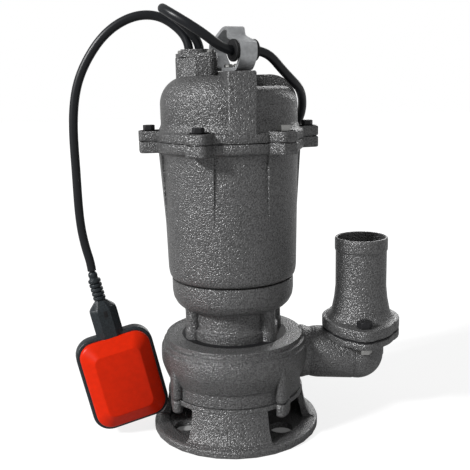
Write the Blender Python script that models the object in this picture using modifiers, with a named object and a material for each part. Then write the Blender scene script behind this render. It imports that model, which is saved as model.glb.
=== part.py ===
"""Cast-iron submersible sewage pump with a float switch.

The pump stands on its inlet base, with its shaft upright on the Z axis and the floor at z = 0.
Sizes are written in millimetres and turned into metres by MM.  Angles about the shaft are in
degrees, measured from the front (-Y) towards the outlet side (+X).
"""

import math

import bmesh
import bpy
import numpy as np
from mathutils import Matrix

MM = 0.001
GAP = 0.3                     # clearance between pieces that touch
ROUND = 28                    # sides of a large turned piece
MEDIUM = 20                   # sides of a middling or inner turned piece
SMALL = 10                    # sides of a small turned piece
POST_SIDES = 12               # sides of a post, boss or lug
ARC_STEPS = 6                 # steps in a half circle
CUTTER_TURN = 5.0             # turn of a coaxial cutter, so that its edges miss the body's

# Inlet base
BASE_R = 85.0
BASE_T = 7.5
BASE_FLOOR_T = 6.0
BASE_DECK_T = 6.0
BASE_TOP_Z = 42.0
BASE_TOP_R = 69.0
BASE_FOOT_R = 76.5
BASE_WALL = 6.0
INLET_EYE_R = 25.0
WALL_COUNT = 3
WINDOW_FIRST = -65.5
WINDOW_SPAN = 56.0
WINDOW_NEAR_R = 57.0
WINDOW_FAR_R = 96.0
WINDOW_LOW_Z = 7.3
WINDOW_TOP_Z = 37.5
DRAIN_HOLE_R = 12.0
DRAIN_HOLE_PITCH = 56.0
BOSS_FIRST = -70.5
BOSS_PITCH = 62.5
BOSS_R = 6.8
BOSS_LOW_Z = 29.0
BOSS_TOP_Z = 71.0
BASE_SCREW_R = 3.0
BASE_SCREW_HEAD_R = 5.8
BASE_SCREW_HEAD_H = 5.0
BASE_SCREW_TOP_Z = 61.0

# Volute casing
BAND_R = 67.5
BAND_TOP_Z = 55.5
VOLUTE_R = 74.5
VOLUTE_MID_Z = 78.0
VOLUTE_TOP_R = 68.5
VOLUTE_TOP_Z = 99.0
ROOM_R = 54.0
ROOM_LOW_Z = 47.0
ROOM_TOP_Z = 91.0
MOUTH_R = 40.0
RECESS_R = 53.5
RECESS_DEPTH = 2.5

# Outlet elbow, flange and hose spigot
OUTLET_X = 131.5
OUTLET_Y = 8.0
PIPE_START_X = 50.0
PIPE_START_Z = 73.5
PIPE_Z = 70.0
PIPE_R = 25.2
PIPE_BORE_R = 20.0
ELBOW_X = 128.0
ELBOW_R = 26.8
ELBOW_BORE_R = 21.0
RISER_R = 24.0
RISER_BORE_R = 20.5
ELBOW_FLANGE_T = 6.5
ELBOW_TOP_Z = 97.5
FLANGE_R = 39.5
FLANGE_BOLT_PITCH = 41.0
FLANGE_LOBE_R = 14.0
FLANGE_TURN = -4.0
GASKET_T = 1.2
SPIGOT_FLANGE_T = 11.0
SPIGOT_R = 25.8
SPIGOT_BORE_R = 24.0
SPIGOT_LIP_R = 26.7
SPIGOT_LIP_H = 13.5
SPIGOT_FOOT_R = 33.0
SPIGOT_TOP_Z = 193.5
OUTLET_BOLT_R = 4.0
OUTLET_BOLT_L = 28.0
OUTLET_HEX = 13.5
OUTLET_HEAD_H = 6.0
OUTLET_NUT_H = 6.5

# Bearing housing: neck with posts, and the lower stage
NECK_R = 41.5
NECK_RING_R = 44.5
NECK_RING_TOP_Z = 109.0
POST_ANGLES = (-68.0, 50.0, 110.0, 170.0, 230.0)
POST_PITCH = 43.5
POST_R = 7.6
POST_COLLAR_R = 8.4
CHAMBER_R = 29.0
CHAMBER_LOW_Z = 97.0
CHAMBER_TOP_Z = 139.0
STAGE_R = 61.0
STAGE_LOW_Z = 131.5
STAGE_TOP_Z = 159.0
OIL_PLUG_Z = 121.0
OIL_PLUG_ANGLE = 137.0
OIL_PLUG_R = 4.0
OIL_PLUG_HEX = 11.0

# Shaft line
SHAFT_R = 7.0
SHAFT_BODY_R = 8.5
SHAFT_END_Z = 51.0
SHAFT_TOP_Z = 301.0
IMPELLER_R = 45.0
IMPELLER_HUB_LOW_Z = 60.0
IMPELLER_DISC_Z = 76.5
IMPELLER_DISC_T = 4.5
IMPELLER_HUB_R = 12.0
IMPELLER_HUB_TOP_Z = 85.0
VANE_COUNT = 5
VANE_T = 4.0
VANE_SWEEP = 78.0
VANE_LOW_Z = 48.8
VANE_ROOT_R = 10.5
NUT_ROOM_R = 13.5
NUT_HEX = 17.0
NUT_H = 5.6
WASHER_R = 9.5
WASHER_T = 2.3
SEAL_R = 12.0
SEAL_T = 3.6
BEARING_R = 17.5
BEARING_T = 12.0
LOWER_BEARING_Z = 143.3
UPPER_BEARING_Z = 288.3
ROTOR_R = 29.5
STATOR_BORE_R = 30.3
STATOR_R = 54.0
CORE_LOW_Z = 196.0
CORE_TOP_Z = 262.0
SLOT_COUNT = 12
SLOT_DEPTH = 11.0
WINDING_H = 17.5

# Motor casing
BARREL_LOW_R = 64.0
BARREL_TOP_R = 66.3
CASING_FLOOR_T = 5.5
CASING_HOLE_R = 20.0
RING_R = 72.5
RING_LOW_Z = 286.5
PARTING_Z = 296.4
BRACKET_R = 58.0
BRACKET_Z = 282.3
BRACKET_T = 9.7
HUB_R = 24.0
LUG_COUNT = 6
LUG_FIRST = -80.5
LUG_PITCH = 78.0
LUG_R = 10.3
LUG_ROOT_R = 61.0
LUG_SPREAD = 12.0
LUG_LOW_Z = 285.5
LUG_TOP_Z = 306.5
COVER_BOLT_R = 3.0
COVER_BOLT_HEX = 10.0
COVER_BOLT_HEAD_H = 5.0
COVER_BOLT_L = 19.0

# Top cover
COVER_RING_TOP_Z = 304.5
DOME_R = 66.3
DOME_TOP_Z = 356.5
DOME_SHOULDER = 26.5
STEP_X = 8.0
STEP_Y = 3.0
STEP_LOW_Z = 328.0
STEP_TOP_Z = 346.0
STEP_SHOULDER = 16.0
COVER_WALL = 5.0
PIER_TURN = 10.3
PIER_W = 26.0
PIER_FRONT = 71.3
PIER_BACK = 22.0
PIER_TOP_Z = 360.0
TOWER_X = -29.5
TOWER_Y = -14.5
TOWER_SIDE = 23.5
TOWER_TOP_Z = 373.6
EAR_SPREAD = 17.0
EAR_TURN = -35.0
EAR_R = 6.3
EAR_LOW_Z = 351.0
CAPACITOR_R = 16.0
CAPACITOR_H = 38.0
CAPACITOR_Y = 41.5

# Cable gland
GLAND_X = -31.0
LEAD_SPREAD = 5.0
GLAND_SLOT_R = 5.9
GLAND_LOW_Z = 362.0
PRESS_PLATE_T = 3.4
COLLAR_R = 8.0
COLLAR_TOP_Z = TOWER_TOP_Z + 7.4
GLAND_SCREW_R = 2.2

# Handle and cord holder
HANDLE_TURN = -60.0
HANDLE_X = 4.3
HANDLE_Y = -25.0
HANDLE_W = 17.5
HANDLE_T = 3.0
HANDLE_OUTLINE = ((-17.4, 360.3), (22.0, 360.3), (30.6, 372.5), (30.6, 385.5), (9.2, 392.0),
                  (9.2, 400.0), (-0.8, 400.0), (-28.7, 385.6), (-28.7, 374.0))
HANDLE_SCREWS = (-6.0, 11.0)
HANDLE_SCREW_R = 2.6
HOLDER_S = 20.4
HOLDER_Z = 378.1
HOLDER_R = 6.8
HOLDER_LIP_R = 10.0
HOLDER_LIP_T = 3.0

# Leads
LEAD_R = 4.3
LEAD_BORE_R = 4.6
LEAD_LOW_Z = 363.0
LEAD_STEP = 17.0
STRAIGHT = 9.0
COIL_X = 5.0
COIL_Y = 172.0
COIL_MEAN_R = 52.0
COIL_LAYERS = 4
COIL_TURNS = 13
COIL_STEP = 9.3
COIL_LAYER_H = 9.2
COIL_LOW_Z = 4.6
COIL_START = 225.0
COIL_POINTS = 22

# Plug
PLUG_X = 3.7
PLUG_Y = 210.7
PLUG_Z = 55.8
PLUG_TURN = 20.0
PLUG_R = 19.0
PLUG_FACE = 19.0
PLUG_RELIEF_END = -40.0
PIN_R = 2.4
PIN_L = 30.0
PIN_SPREAD = 9.5

# Float switch
HINGE_X = -138.4
HINGE_Y = -18.0
HINGE_Z = 166.0
FLOAT_TILT = 12.5
FLOAT_YAW = 15.0
FLOAT_W = 78.0
FLOAT_H = 97.0
FLOAT_TOP = -61.0
FLOAT_CORNER = 18.0
RIM_T = 15.0
RIM_WALL = 4.5
SHELL_W = 71.0
SHELL_H = 90.0
SHELL_T = 2.5
SHELL_RISE = 12.5
FACET_W = 45.0
FACET_H = 62.0
RELIEF_TOP = -4.5
RELIEF_LOW = -26.5
RELIEF_R = 6.2
RELIEF_RIBS = 5
BOOT_W = 27.0
BOOT_T = 20.0
BOOT_LOW = -68.0
BOOT_SHOULDER = -35.0
CAGE_R = 8.3
CAGE_WALL = 1.9
CAGE_LOW = -140.0
CAGE_TOP = -95.0
BALL_R = 8.0


# ---------------------------------------------------------------- making tools

def clear_scene():
    """Remove what is in the scene."""
    for obj in list(bpy.data.objects):
        bpy.data.objects.remove(obj, do_unlink=True)


def new_collection(name):
    """A collection linked to the scene."""
    made = bpy.data.collections.new(name)
    bpy.context.scene.collection.children.link(made)
    return made


def new_material(name, colour, roughness, metallic):
    """A Principled finish."""
    made = bpy.data.materials.new(name)
    made.use_nodes = True
    shader = made.node_tree.nodes["Principled BSDF"]
    shader.inputs["Base Color"].default_value = (*colour, 1.0)
    shader.inputs["Roughness"].default_value = roughness
    shader.inputs["Metallic"].default_value = metallic
    return made


def move(x, y, z=0.0):
    """A frame at a point in millimetres."""
    return Matrix.Translation((x * MM, y * MM, z * MM))


def turn(axis, angle):
    """A frame turned about an axis."""
    return Matrix.Rotation(math.radians(angle), 4, axis)


def outward(angle, x=0.0, y=0.0, z=0.0):
    """A frame whose own Z points outwards at this angle about the shaft."""
    return move(x, y, z) @ turn("Z", angle) @ turn("X", 90.0)


def add_object(name, data, finish, frame=None):
    """Link an object; one without a finish is a guide that only shapes others."""
    obj = bpy.data.objects.new(name, data)
    if finish is None:
        GUIDES.objects.link(obj)
        obj.hide_render = True
        obj.display_type = "WIRE"
    else:
        PARTS.objects.link(obj)
        obj.data.materials.append(finish)
    if frame is not None:
        obj.matrix_world = frame
    return obj


def finished(shape, name, finish, frame):
    """Make a mesh object of a worked shape, smooth but for its sharp edges."""
    mesh = bpy.data.meshes.new(name)
    bmesh.ops.recalc_face_normals(shape, faces=shape.faces)
    shape.to_mesh(mesh)
    shape.free()
    mesh.shade_smooth()
    mesh.set_sharp_from_angle(angle=math.radians(40.0))
    return add_object(name, mesh, finish, frame)


def at_angle(radius, angle):
    """The point at this radius and angle about the shaft, in millimetres."""
    turned_by = math.radians(angle)
    return radius * math.sin(turned_by), -radius * math.cos(turned_by)


def spaced(first, count):
    """Angles spaced evenly round the shaft."""
    return [first + 360.0 * step / count for step in range(count)]


def arc(centre_a, centre_b, radius, start, end, steps):
    """Points of an arc, from start to end in degrees, both included."""
    angles = [math.radians(start + (end - start) * step / steps) for step in range(steps + 1)]
    return [(centre_a + radius * math.cos(a), centre_b + radius * math.sin(a)) for a in angles]


def circle(x, y, radius, sides=32):
    """The outline of a circle."""
    return arc(x, y, radius, 0.0, 360.0 - 360.0 / sides, sides - 1)


def hull(points):
    """The convex outline round a set of points."""
    ordered = sorted(set((round(x, 6), round(y, 6)) for x, y in points))
    outline = []
    for row in (ordered, ordered[::-1]):
        side = []
        for x, y in row:
            while len(side) > 1:
                (ax, ay), (bx, by) = side[-2:]
                if (bx - ax) * (y - ay) - (by - ay) * (x - ax) > 1e-9:
                    break
                side.pop()
            side.append((x, y))
        outline += side[:-1]
    return outline


def slot_outline(x, y, half_length, radius):
    """A slot along X with round ends."""
    return hull(circle(x - half_length, y, radius, POST_SIDES) + circle(x + half_length, y, radius, POST_SIDES))


def round_corners(corners, radius, steps=2):
    """An outline with each corner eased by a short curve."""
    outline = []
    for before, here, after in zip(corners[-1:] + corners[:-1], corners, corners[1:] + corners[:1]):
        here = np.array(here)
        start, end = (here + (other - here) * min(radius / np.linalg.norm(other - here), 0.45)
                      for other in (np.array(before), np.array(after)))
        for step in range(steps + 1):
            t = step / steps
            outline.append(tuple((1 - t) ** 2 * start + 2 * t * (1 - t) * here + t * t * end))
    return outline


def round_box(width, height, radius, centre=0.0, steps=3):
    """A rectangle with round corners, its middle at this height."""
    half_w = width / 2 - radius
    half_h = height / 2 - radius
    corners = ((half_w, half_h, 0.0), (-half_w, half_h, 90.0),
               (-half_w, -half_h, 180.0), (half_w, -half_h, 270.0))
    return [point for x, y, start in corners
            for point in arc(x, centre + y, radius, start, start + 90.0, steps)]


def inset(corners, distance):
    """A counter-clockwise outline moved inwards by a distance."""
    outline = []
    for before, here, after in zip(corners[-1:] + corners[:-1], corners, corners[1:] + corners[:1]):
        inner = []
        for (ax, ay), (bx, by) in ((before, here), (here, after)):
            length = math.hypot(bx - ax, by - ay)
            inner.append(np.array((-(by - ay) / length, (bx - ax) / length)))
        shift = (inner[0] + inner[1]) * distance / (1.0 + float(inner[0] @ inner[1]))
        outline.append((here[0] + float(shift[0]), here[1] + float(shift[1])))
    return outline


def turned(name, profile, finish, sides=ROUND, frame=None):
    """Turn a profile of (radius, height) about an upright axis.

    The profile runs down its outer side.  One that starts and ends on the axis is left open,
    and any other is closed, which leaves a bore.
    """
    mesh = bpy.data.meshes.new(name)
    edges = [(step, step + 1) for step in range(len(profile) - 1)]
    if profile[0][0] > 0.0 or profile[-1][0] > 0.0:
        edges.append((len(profile) - 1, 0))
    mesh.from_pydata([(radius * MM, 0.0, height * MM) for radius, height in profile], edges, [])
    obj = add_object(name, mesh, finish, frame)
    screw = obj.modifiers.new("Turn", "SCREW")
    screw.steps = sides
    screw.render_steps = sides
    screw.use_merge_vertices = True
    screw.merge_threshold = 0.00001
    return obj


def rod(name, radius, low, high, finish, frame=None, sides=SMALL, top_radius=None):
    """A cylinder or cone between two heights."""
    shape = bmesh.new()
    end = radius if top_radius is None else top_radius
    middle = Matrix.Translation((0.0, 0.0, (low + high) / 2 * MM))
    bmesh.ops.create_cone(shape, cap_ends=True, segments=sides, radius1=radius * MM,
                          radius2=end * MM, depth=(high - low) * MM, matrix=middle)
    return finished(shape, name, finish, frame)


def block(name, size, centre, finish, frame=None, edge=0.0):
    """A box about its centre, with eased edges."""
    shape = bmesh.new()
    scale = Matrix.Diagonal([side * MM for side in size] + [1.0])
    bmesh.ops.create_cube(shape, size=1.0, matrix=move(*centre) @ scale)
    if edge:
        bmesh.ops.bevel(shape, geom=list(shape.edges), offset=edge * MM, segments=1,
                        profile=0.5, affect="EDGES", clamp_overlap=True)
    return finished(shape, name, finish, frame)


def loft(name, rings, finish, frame=None):
    """A solid through rings with equal numbers of points, capped at both ends."""
    shape = bmesh.new()
    rows = [[shape.verts.new([value * MM for value in point]) for point in ring] for ring in rings]
    for near, far in zip(rows, rows[1:]):
        for step in range(len(near)):
            after = (step + 1) % len(near)
            shape.faces.new((near[step], near[after], far[after], far[step]))
    shape.faces.new(rows[0][::-1])
    shape.faces.new(rows[-1])
    return finished(shape, name, finish, frame)


def mesh_from_curve(name, curve, finish, frame=None):
    """Make a curve a closed mesh object, with its caps welded."""
    holder = bpy.data.objects.new(name, curve)
    bpy.context.scene.collection.objects.link(holder)
    bpy.context.view_layer.update()
    graph = bpy.context.evaluated_depsgraph_get()
    made = bpy.data.meshes.new_from_object(holder.evaluated_get(graph))
    shape = bmesh.new()
    shape.from_mesh(made)
    bmesh.ops.remove_doubles(shape, verts=shape.verts, dist=0.00001)
    bpy.data.objects.remove(holder, do_unlink=True)
    bpy.data.curves.remove(curve)
    bpy.data.meshes.remove(made)
    return finished(shape, name, finish, frame)


def plate(name, outlines, low, high, finish, frame=None):
    """A flat outline, or one with holes, between two heights."""
    curve = bpy.data.curves.new(name, "CURVE")
    curve.dimensions = "2D"
    curve.fill_mode = "BOTH"
    curve.extrude = (high - low) / 2 * MM
    for outline in outlines:
        spline = curve.splines.new("POLY")
        spline.points.add(len(outline) - 1)
        for point, (x, y) in zip(spline.points, outline):
            point.co = (x * MM, y * MM, 0.0, 1.0)
        spline.use_cyclic_u = True
    return mesh_from_curve(name, curve, finish, (frame or Matrix()) @ move(0, 0, (low + high) / 2))


def tube(name, points, radius, finish, resolution=2, frame=None):
    """A round tube with filled ends along a row of points."""
    curve = bpy.data.curves.new(name, "CURVE")
    curve.dimensions = "3D"
    curve.bevel_depth = radius * MM
    curve.bevel_resolution = resolution
    curve.use_fill_caps = True
    spline = curve.splines.new("POLY")
    spline.points.add(len(points) - 1)
    for point, place in zip(spline.points, points):
        point.co = (place[0] * MM, place[1] * MM, place[2] * MM, 1.0)
    return mesh_from_curve(name, curve, finish, frame)


def combine(obj, tools, operation):
    """Cut or join one object by others with exact Booleans."""
    for tool in tools:
        step = obj.modifiers.new(tool.name, "BOOLEAN")
        step.operation = operation
        step.solver = "EXACT"
        step.object = tool


def cut(obj, *tools):
    """Take each tool away from the object."""
    combine(obj, tools, "DIFFERENCE")


def join(obj, *tools):
    """Fuse each tool into the object."""
    combine(obj, tools, "UNION")


def hexagon(across):
    """The corners of a hexagon of this width across its flats."""
    return circle(0.0, 0.0, across / math.sqrt(3.0), 6)


def hex_bolt(name, across, head_h, shank_r, length, finish, frame):
    """A hexagon-head bolt whose head stands on its frame's zero height."""
    head = plate(name, [hexagon(across)], 0.0, head_h, finish, frame)
    join(head, rod(name + "_shank", shank_r, -length, head_h / 2, None, frame))
    return head


def round_screw(name, head_r, head_h, shank_r, length, finish, frame):
    """A screw with a round head that stands on its frame's zero height."""
    return turned(name, [(0.0, head_h), (head_r * 0.8, head_h), (head_r, head_h * 0.6),
                         (head_r, 0.0), (shank_r, 0.0), (shank_r, -length), (0.0, -length)],
                  finish, SMALL, frame)


def smooth_route(points, step):
    """Points about a step apart on the natural cubic spline through a route's points."""
    knots = np.array(points, dtype=float)
    count = len(knots)
    chord = np.linalg.norm(np.diff(knots, axis=0), axis=1)
    length = np.concatenate(([0.0], np.cumsum(chord)))
    slope = np.diff(knots, axis=0) / chord[:, None]
    system = np.eye(count)
    right = np.zeros((count, 3))
    for row in range(1, count - 1):
        near, far = chord[row - 1], chord[row]
        system[row, row - 1:row + 2] = near, 2.0 * (near + far), far
        right[row] = 6.0 * (slope[row] - slope[row - 1])
    bend = np.linalg.solve(system, right)
    where = np.linspace(0.0, length[-1], max(2, round(length[-1] / step) + 1))
    span = np.clip(np.searchsorted(length, where, side="right") - 1, 0, count - 2)
    width = chord[span][:, None]
    before = (length[span + 1] - where)[:, None] / width
    after = 1.0 - before
    curve = (before ** 3 - before) * bend[span] + (after ** 3 - after) * bend[span + 1]
    route = before * knots[span] + after * knots[span + 1] + curve * width ** 2 / 6.0
    return [tuple(place) for place in route]


# ---------------------------------------------------------------- wet end

def window_tool(angle):
    """The sector that opens an inlet window between two walls."""
    half = WINDOW_SPAN / 2
    sector = [at_angle(radius, angle + side) for radius, side in
              ((WINDOW_NEAR_R, -half), (WINDOW_FAR_R, -half), (WINDOW_FAR_R * 1.1, 0.0),
               (WINDOW_FAR_R, half), (WINDOW_NEAR_R, half))]
    return plate("window", [sector], WINDOW_LOW_Z, WINDOW_TOP_Z, None)


def make_inlet_base():
    """The foot: a round flange, three flared walls, a deck with the inlet eye, and bosses."""
    deck_low = BASE_TOP_Z - BASE_DECK_T
    flare = [(BASE_TOP_R, BASE_TOP_Z), (BASE_TOP_R + 1.2, 32.0), (BASE_TOP_R + 4.4, 16.0),
             (BASE_FOOT_R + 0.8, 9.0)]
    edge = [(BASE_R - 1.8, BASE_T), (BASE_R, BASE_T - 1.8), (BASE_R, 0.0), (0.0, 0.0)]
    inside = [(0.0, BASE_FLOOR_T), (BASE_FOOT_R - BASE_WALL, BASE_FLOOR_T),
              (BASE_TOP_R - BASE_WALL, deck_low), (INLET_EYE_R, deck_low), (INLET_EYE_R, BASE_TOP_Z)]
    base = turned("inlet_base", inside + flare + edge, CAST_IRON)
    for angle in spaced(WINDOW_FIRST, WALL_COUNT):
        hole_at = at_angle(DRAIN_HOLE_PITCH, angle)
        cut(base, window_tool(angle),
            rod("drain", DRAIN_HOLE_R, -5.0, BASE_FLOOR_T + 4.0, None, move(*hole_at), 16))
    for angle in spaced(BOSS_FIRST, WALL_COUNT):
        frame = move(*at_angle(BOSS_PITCH, angle))
        join(base, rod("boss", BOSS_R, BOSS_LOW_Z, BASE_TOP_Z - 1.0, None, frame, POST_SIDES))
        cut(base, rod("boss_bore", BASE_SCREW_R + GAP, BOSS_LOW_Z - 5.0, BASE_TOP_Z + 5.0, None, frame))
    return base


def make_base_screw(number, angle):
    """A screw that holds the foot to the volute from below, its head under the boss."""
    seat = BOSS_LOW_Z - GAP
    low = seat - BASE_SCREW_HEAD_H
    profile = [(0.0, BASE_SCREW_TOP_Z), (BASE_SCREW_R, BASE_SCREW_TOP_Z), (BASE_SCREW_R, seat),
               (BASE_SCREW_HEAD_R, seat),
               (BASE_SCREW_HEAD_R, low + 2.0), (BASE_SCREW_HEAD_R - 1.8, low), (0.0, low)]
    return turned(f"base_screw_{number}", profile, STEEL, SMALL, move(*at_angle(BOSS_PITCH, angle)))


def volute_body():
    """The turned body of the volute, with its band below and its flat top."""
    low = BASE_TOP_Z + GAP
    return turned("volute_casing", [
        (0.0, VOLUTE_TOP_Z), (VOLUTE_TOP_R - 1.0, VOLUTE_TOP_Z), (VOLUTE_TOP_R, VOLUTE_TOP_Z - 1.0),
        (VOLUTE_TOP_R + 0.6, 96.0), (VOLUTE_TOP_R + 4.0, 90.5), (VOLUTE_R, 82.0), (VOLUTE_R, 74.0),
        (VOLUTE_TOP_R + 3.0, 64.0), (VOLUTE_TOP_R + 0.4, 57.5), (BAND_R, BAND_TOP_Z), (BAND_R, low),
        (0.0, low)], CAST_IRON)


def outlet_bolt_places():
    """The two bolt axes of the outlet flange."""
    return [(OUTLET_X + x, OUTLET_Y + y) for x, y in
            (at_angle(FLANGE_BOLT_PITCH, FLANGE_TURN + side) for side in (0.0, 180.0))]


def flange_outline():
    """The flange's round middle, drawn out to a lobe round each bolt."""
    places = circle(OUTLET_X, OUTLET_Y, FLANGE_R, ROUND)
    for x, y in outlet_bolt_places():
        places += circle(x, y, FLANGE_LOBE_R, POST_SIDES)
    return hull(places)


def ball_profile(radius):
    """Half the outline of a ball, from its top to its foot."""
    inner = arc(0.0, 0.0, radius, 90.0, -90.0, ARC_STEPS)[1:-1]
    return [(0.0, radius)] + inner + [(0.0, -radius)]


def elbow_pieces():
    """The outer shapes of the outlet: pipe, round corner, riser and flange."""
    route = [(PIPE_START_X, OUTLET_Y, PIPE_START_Z), (ELBOW_X, OUTLET_Y, PIPE_Z)]
    at_outlet = move(OUTLET_X, OUTLET_Y)
    flange_low = ELBOW_TOP_Z - ELBOW_FLANGE_T
    return [tube("pipe", route, PIPE_R, None, 7),
            turned("corner", ball_profile(ELBOW_R), None, MEDIUM, move(ELBOW_X, OUTLET_Y, PIPE_Z)),
            rod("riser", RISER_R, PIPE_Z, ELBOW_TOP_Z - 1.0, None, at_outlet, MEDIUM),
            plate("elbow_flange", [flange_outline()], flange_low, ELBOW_TOP_Z, None)]


def passage_tools():
    """The hollow of the outlet: pipe bore, round corner and riser bore."""
    route = [(PIPE_START_X - 6.0, OUTLET_Y, PIPE_Z), (ELBOW_X, OUTLET_Y, PIPE_Z)]
    at_outlet = move(OUTLET_X, OUTLET_Y)
    tools = [tube("pipe_bore", route, PIPE_BORE_R, None, 5),
             turned("corner_bore", ball_profile(ELBOW_BORE_R), None, 14, move(ELBOW_X, OUTLET_Y, PIPE_Z)),
             rod("riser_bore", RISER_BORE_R, PIPE_Z, ELBOW_TOP_Z + 5.0, None, at_outlet, MEDIUM)]
    return tools + [rod("bolt_hole", OUTLET_BOLT_R + GAP, ELBOW_TOP_Z - 20.0, ELBOW_TOP_Z + 5.0,
                        None, move(x, y)) for x, y in outlet_bolt_places()]


def make_volute_casing():
    """The pump room with its outlet elbow, bosses, inlet eye and the recess for the neck."""
    volute = volute_body()
    for angle in spaced(BOSS_FIRST, WALL_COUNT):
        frame = move(*at_angle(BOSS_PITCH, angle))
        join(volute, rod("volute_boss", BOSS_R, BASE_TOP_Z + GAP, BOSS_TOP_Z, None, frame, POST_SIDES))
    join(volute, *elbow_pieces())
    cut(volute, turned("room", [
        (0.0, VOLUTE_TOP_Z + 5.0), (RECESS_R, VOLUTE_TOP_Z + 5.0), (RECESS_R, VOLUTE_TOP_Z - RECESS_DEPTH),
        (MOUTH_R, VOLUTE_TOP_Z - RECESS_DEPTH), (MOUTH_R, ROOM_TOP_Z), (ROOM_R, ROOM_TOP_Z),
        (ROOM_R, ROOM_LOW_Z), (INLET_EYE_R, ROOM_LOW_Z), (INLET_EYE_R, BASE_TOP_Z - 5.0),
        (0.0, BASE_TOP_Z - 5.0)], None, ROUND, turn("Z", CUTTER_TURN)), *passage_tools())
    for angle in spaced(BOSS_FIRST, WALL_COUNT):
        cut(volute, rod("screw_bore", BASE_SCREW_R + GAP, BASE_TOP_Z - 5.0, BASE_SCREW_TOP_Z + GAP,
                        None, move(*at_angle(BOSS_PITCH, angle))))
    return volute


def vane_outline(first):
    """One vane in plan: a strip that sweeps back as it runs outwards."""
    sides = ([], [])
    steps = 7
    for step in range(steps + 1):
        radius = VANE_ROOT_R + (IMPELLER_R - 1.0 - VANE_ROOT_R) * step / steps
        angle = first - VANE_SWEEP * step / steps
        half = math.degrees(VANE_T / 2 / radius)
        sides[0].append(at_angle(radius, angle - half))
        sides[1].append(at_angle(radius, angle + half))
    return sides[0] + sides[1][::-1]


def make_impeller():
    """A half-open impeller: a hub, a disc above and swept vanes below it."""
    hub_low = IMPELLER_HUB_LOW_Z - 1.0
    disc_top = IMPELLER_DISC_Z + IMPELLER_DISC_T
    impeller = turned("impeller", [
        (0.0, IMPELLER_HUB_TOP_Z), (IMPELLER_HUB_R, IMPELLER_HUB_TOP_Z), (IMPELLER_HUB_R, disc_top),
        (IMPELLER_R, disc_top), (IMPELLER_R, IMPELLER_DISC_Z), (IMPELLER_HUB_R + 3.0, IMPELLER_DISC_Z),
        (IMPELLER_HUB_R, IMPELLER_DISC_Z - 4.0), (IMPELLER_HUB_R, hub_low), (0.0, hub_low)], BRONZE, MEDIUM)
    for first in spaced(0.0, VANE_COUNT):
        join(impeller, plate("vane", [vane_outline(first)], VANE_LOW_Z, IMPELLER_DISC_Z + 1.0, None))
    offset = turn("Z", CUTTER_TURN)
    cut(impeller, rod("nut_room", NUT_ROOM_R, VANE_LOW_Z - 5.0, IMPELLER_HUB_LOW_Z, None, offset, MEDIUM),
        rod("hub_bore", SHAFT_R + GAP, IMPELLER_HUB_LOW_Z - 5.0, IMPELLER_HUB_TOP_Z + 5.0, None, offset,
            MEDIUM))
    return impeller


def bored_disc(name, radius, bore, low, high, finish, sides=MEDIUM):
    """A plain ring about the shaft."""
    return turned(name, [(radius, high), (radius, low), (bore, low), (bore, high)], finish, sides)


def make_impeller_nut():
    """The nut that holds the impeller on the shaft."""
    top = IMPELLER_HUB_LOW_Z - WASHER_T - 2 * GAP
    return plate("impeller_nut", [hexagon(NUT_HEX), circle(0, 0, SHAFT_R + GAP, MEDIUM)],
                 top - NUT_H, top, STEEL)


def make_bearing_housing():
    """The oil chamber: a neck with five posts that carries the round lower stage."""
    foot = VOLUTE_TOP_Z - RECESS_DEPTH + GAP
    tail = ROOM_TOP_Z + GAP
    seal_top = tail + GAP + SEAL_T + GAP
    housing = turned("bearing_housing", [
        (0.0, STAGE_TOP_Z), (STAGE_R, STAGE_TOP_Z), (STAGE_R, 146.0), (STAGE_R - 2.0, 139.0),
        (STAGE_R - 6.0, 134.0), (STAGE_R - 10.5, STAGE_LOW_Z), (NECK_R, STAGE_LOW_Z - 1.4),
        (NECK_R, NECK_RING_TOP_Z + 0.8), (NECK_RING_R - 0.8, NECK_RING_TOP_Z),
        (NECK_RING_R, NECK_RING_TOP_Z - 1.0), (NECK_RING_R, foot), (MOUTH_R - GAP, foot),
        (MOUTH_R - GAP, tail), (0.0, tail)], CAST_IRON)
    cut(housing, turned("chamber", [
        (0.0, STAGE_TOP_Z + 5.0), (BEARING_R + 2 * GAP, STAGE_TOP_Z + 5.0),
        (BEARING_R + 2 * GAP, LOWER_BEARING_Z - GAP), (SHAFT_R + 5.0, LOWER_BEARING_Z - GAP),
        (SHAFT_R + 5.0, CHAMBER_TOP_Z), (CHAMBER_R, CHAMBER_TOP_Z), (CHAMBER_R, CHAMBER_LOW_Z),
        (SHAFT_R + 1.0, CHAMBER_LOW_Z), (SHAFT_R + 1.0, seal_top), (SEAL_R + 2 * GAP, seal_top),
        (SEAL_R + 2 * GAP, tail - 5.0), (0.0, tail - 5.0)], None, SMALL + 4, turn("Z", CUTTER_TURN)))
    for angle in POST_ANGLES:
        frame = move(*at_angle(POST_PITCH, angle))
        join(housing, turned("post", [
            (0.0, STAGE_LOW_Z + 6.0), (POST_R, STAGE_LOW_Z + 6.0), (POST_R, NECK_RING_TOP_Z - 1.0),
            (POST_COLLAR_R, NECK_RING_TOP_Z - 1.8), (POST_COLLAR_R, foot), (0.0, foot)], None,
            POST_SIDES, frame))
    cut(housing, rod("oil_hole", OIL_PLUG_R + GAP, CHAMBER_R - 3.0, NECK_R + 5.0, None,
                     outward(OIL_PLUG_ANGLE, z=OIL_PLUG_Z)))
    return housing


def make_oil_plug():
    """The plug of the oil chamber, at the back of the neck."""
    frame = outward(OIL_PLUG_ANGLE, z=OIL_PLUG_Z) @ move(0, 0, NECK_R + GAP)
    return hex_bolt("oil_plug", OIL_PLUG_HEX, 5.0, OIL_PLUG_R, NECK_R - CHAMBER_R - 1.0, STEEL, frame)


# ---------------------------------------------------------------- outlet

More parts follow.
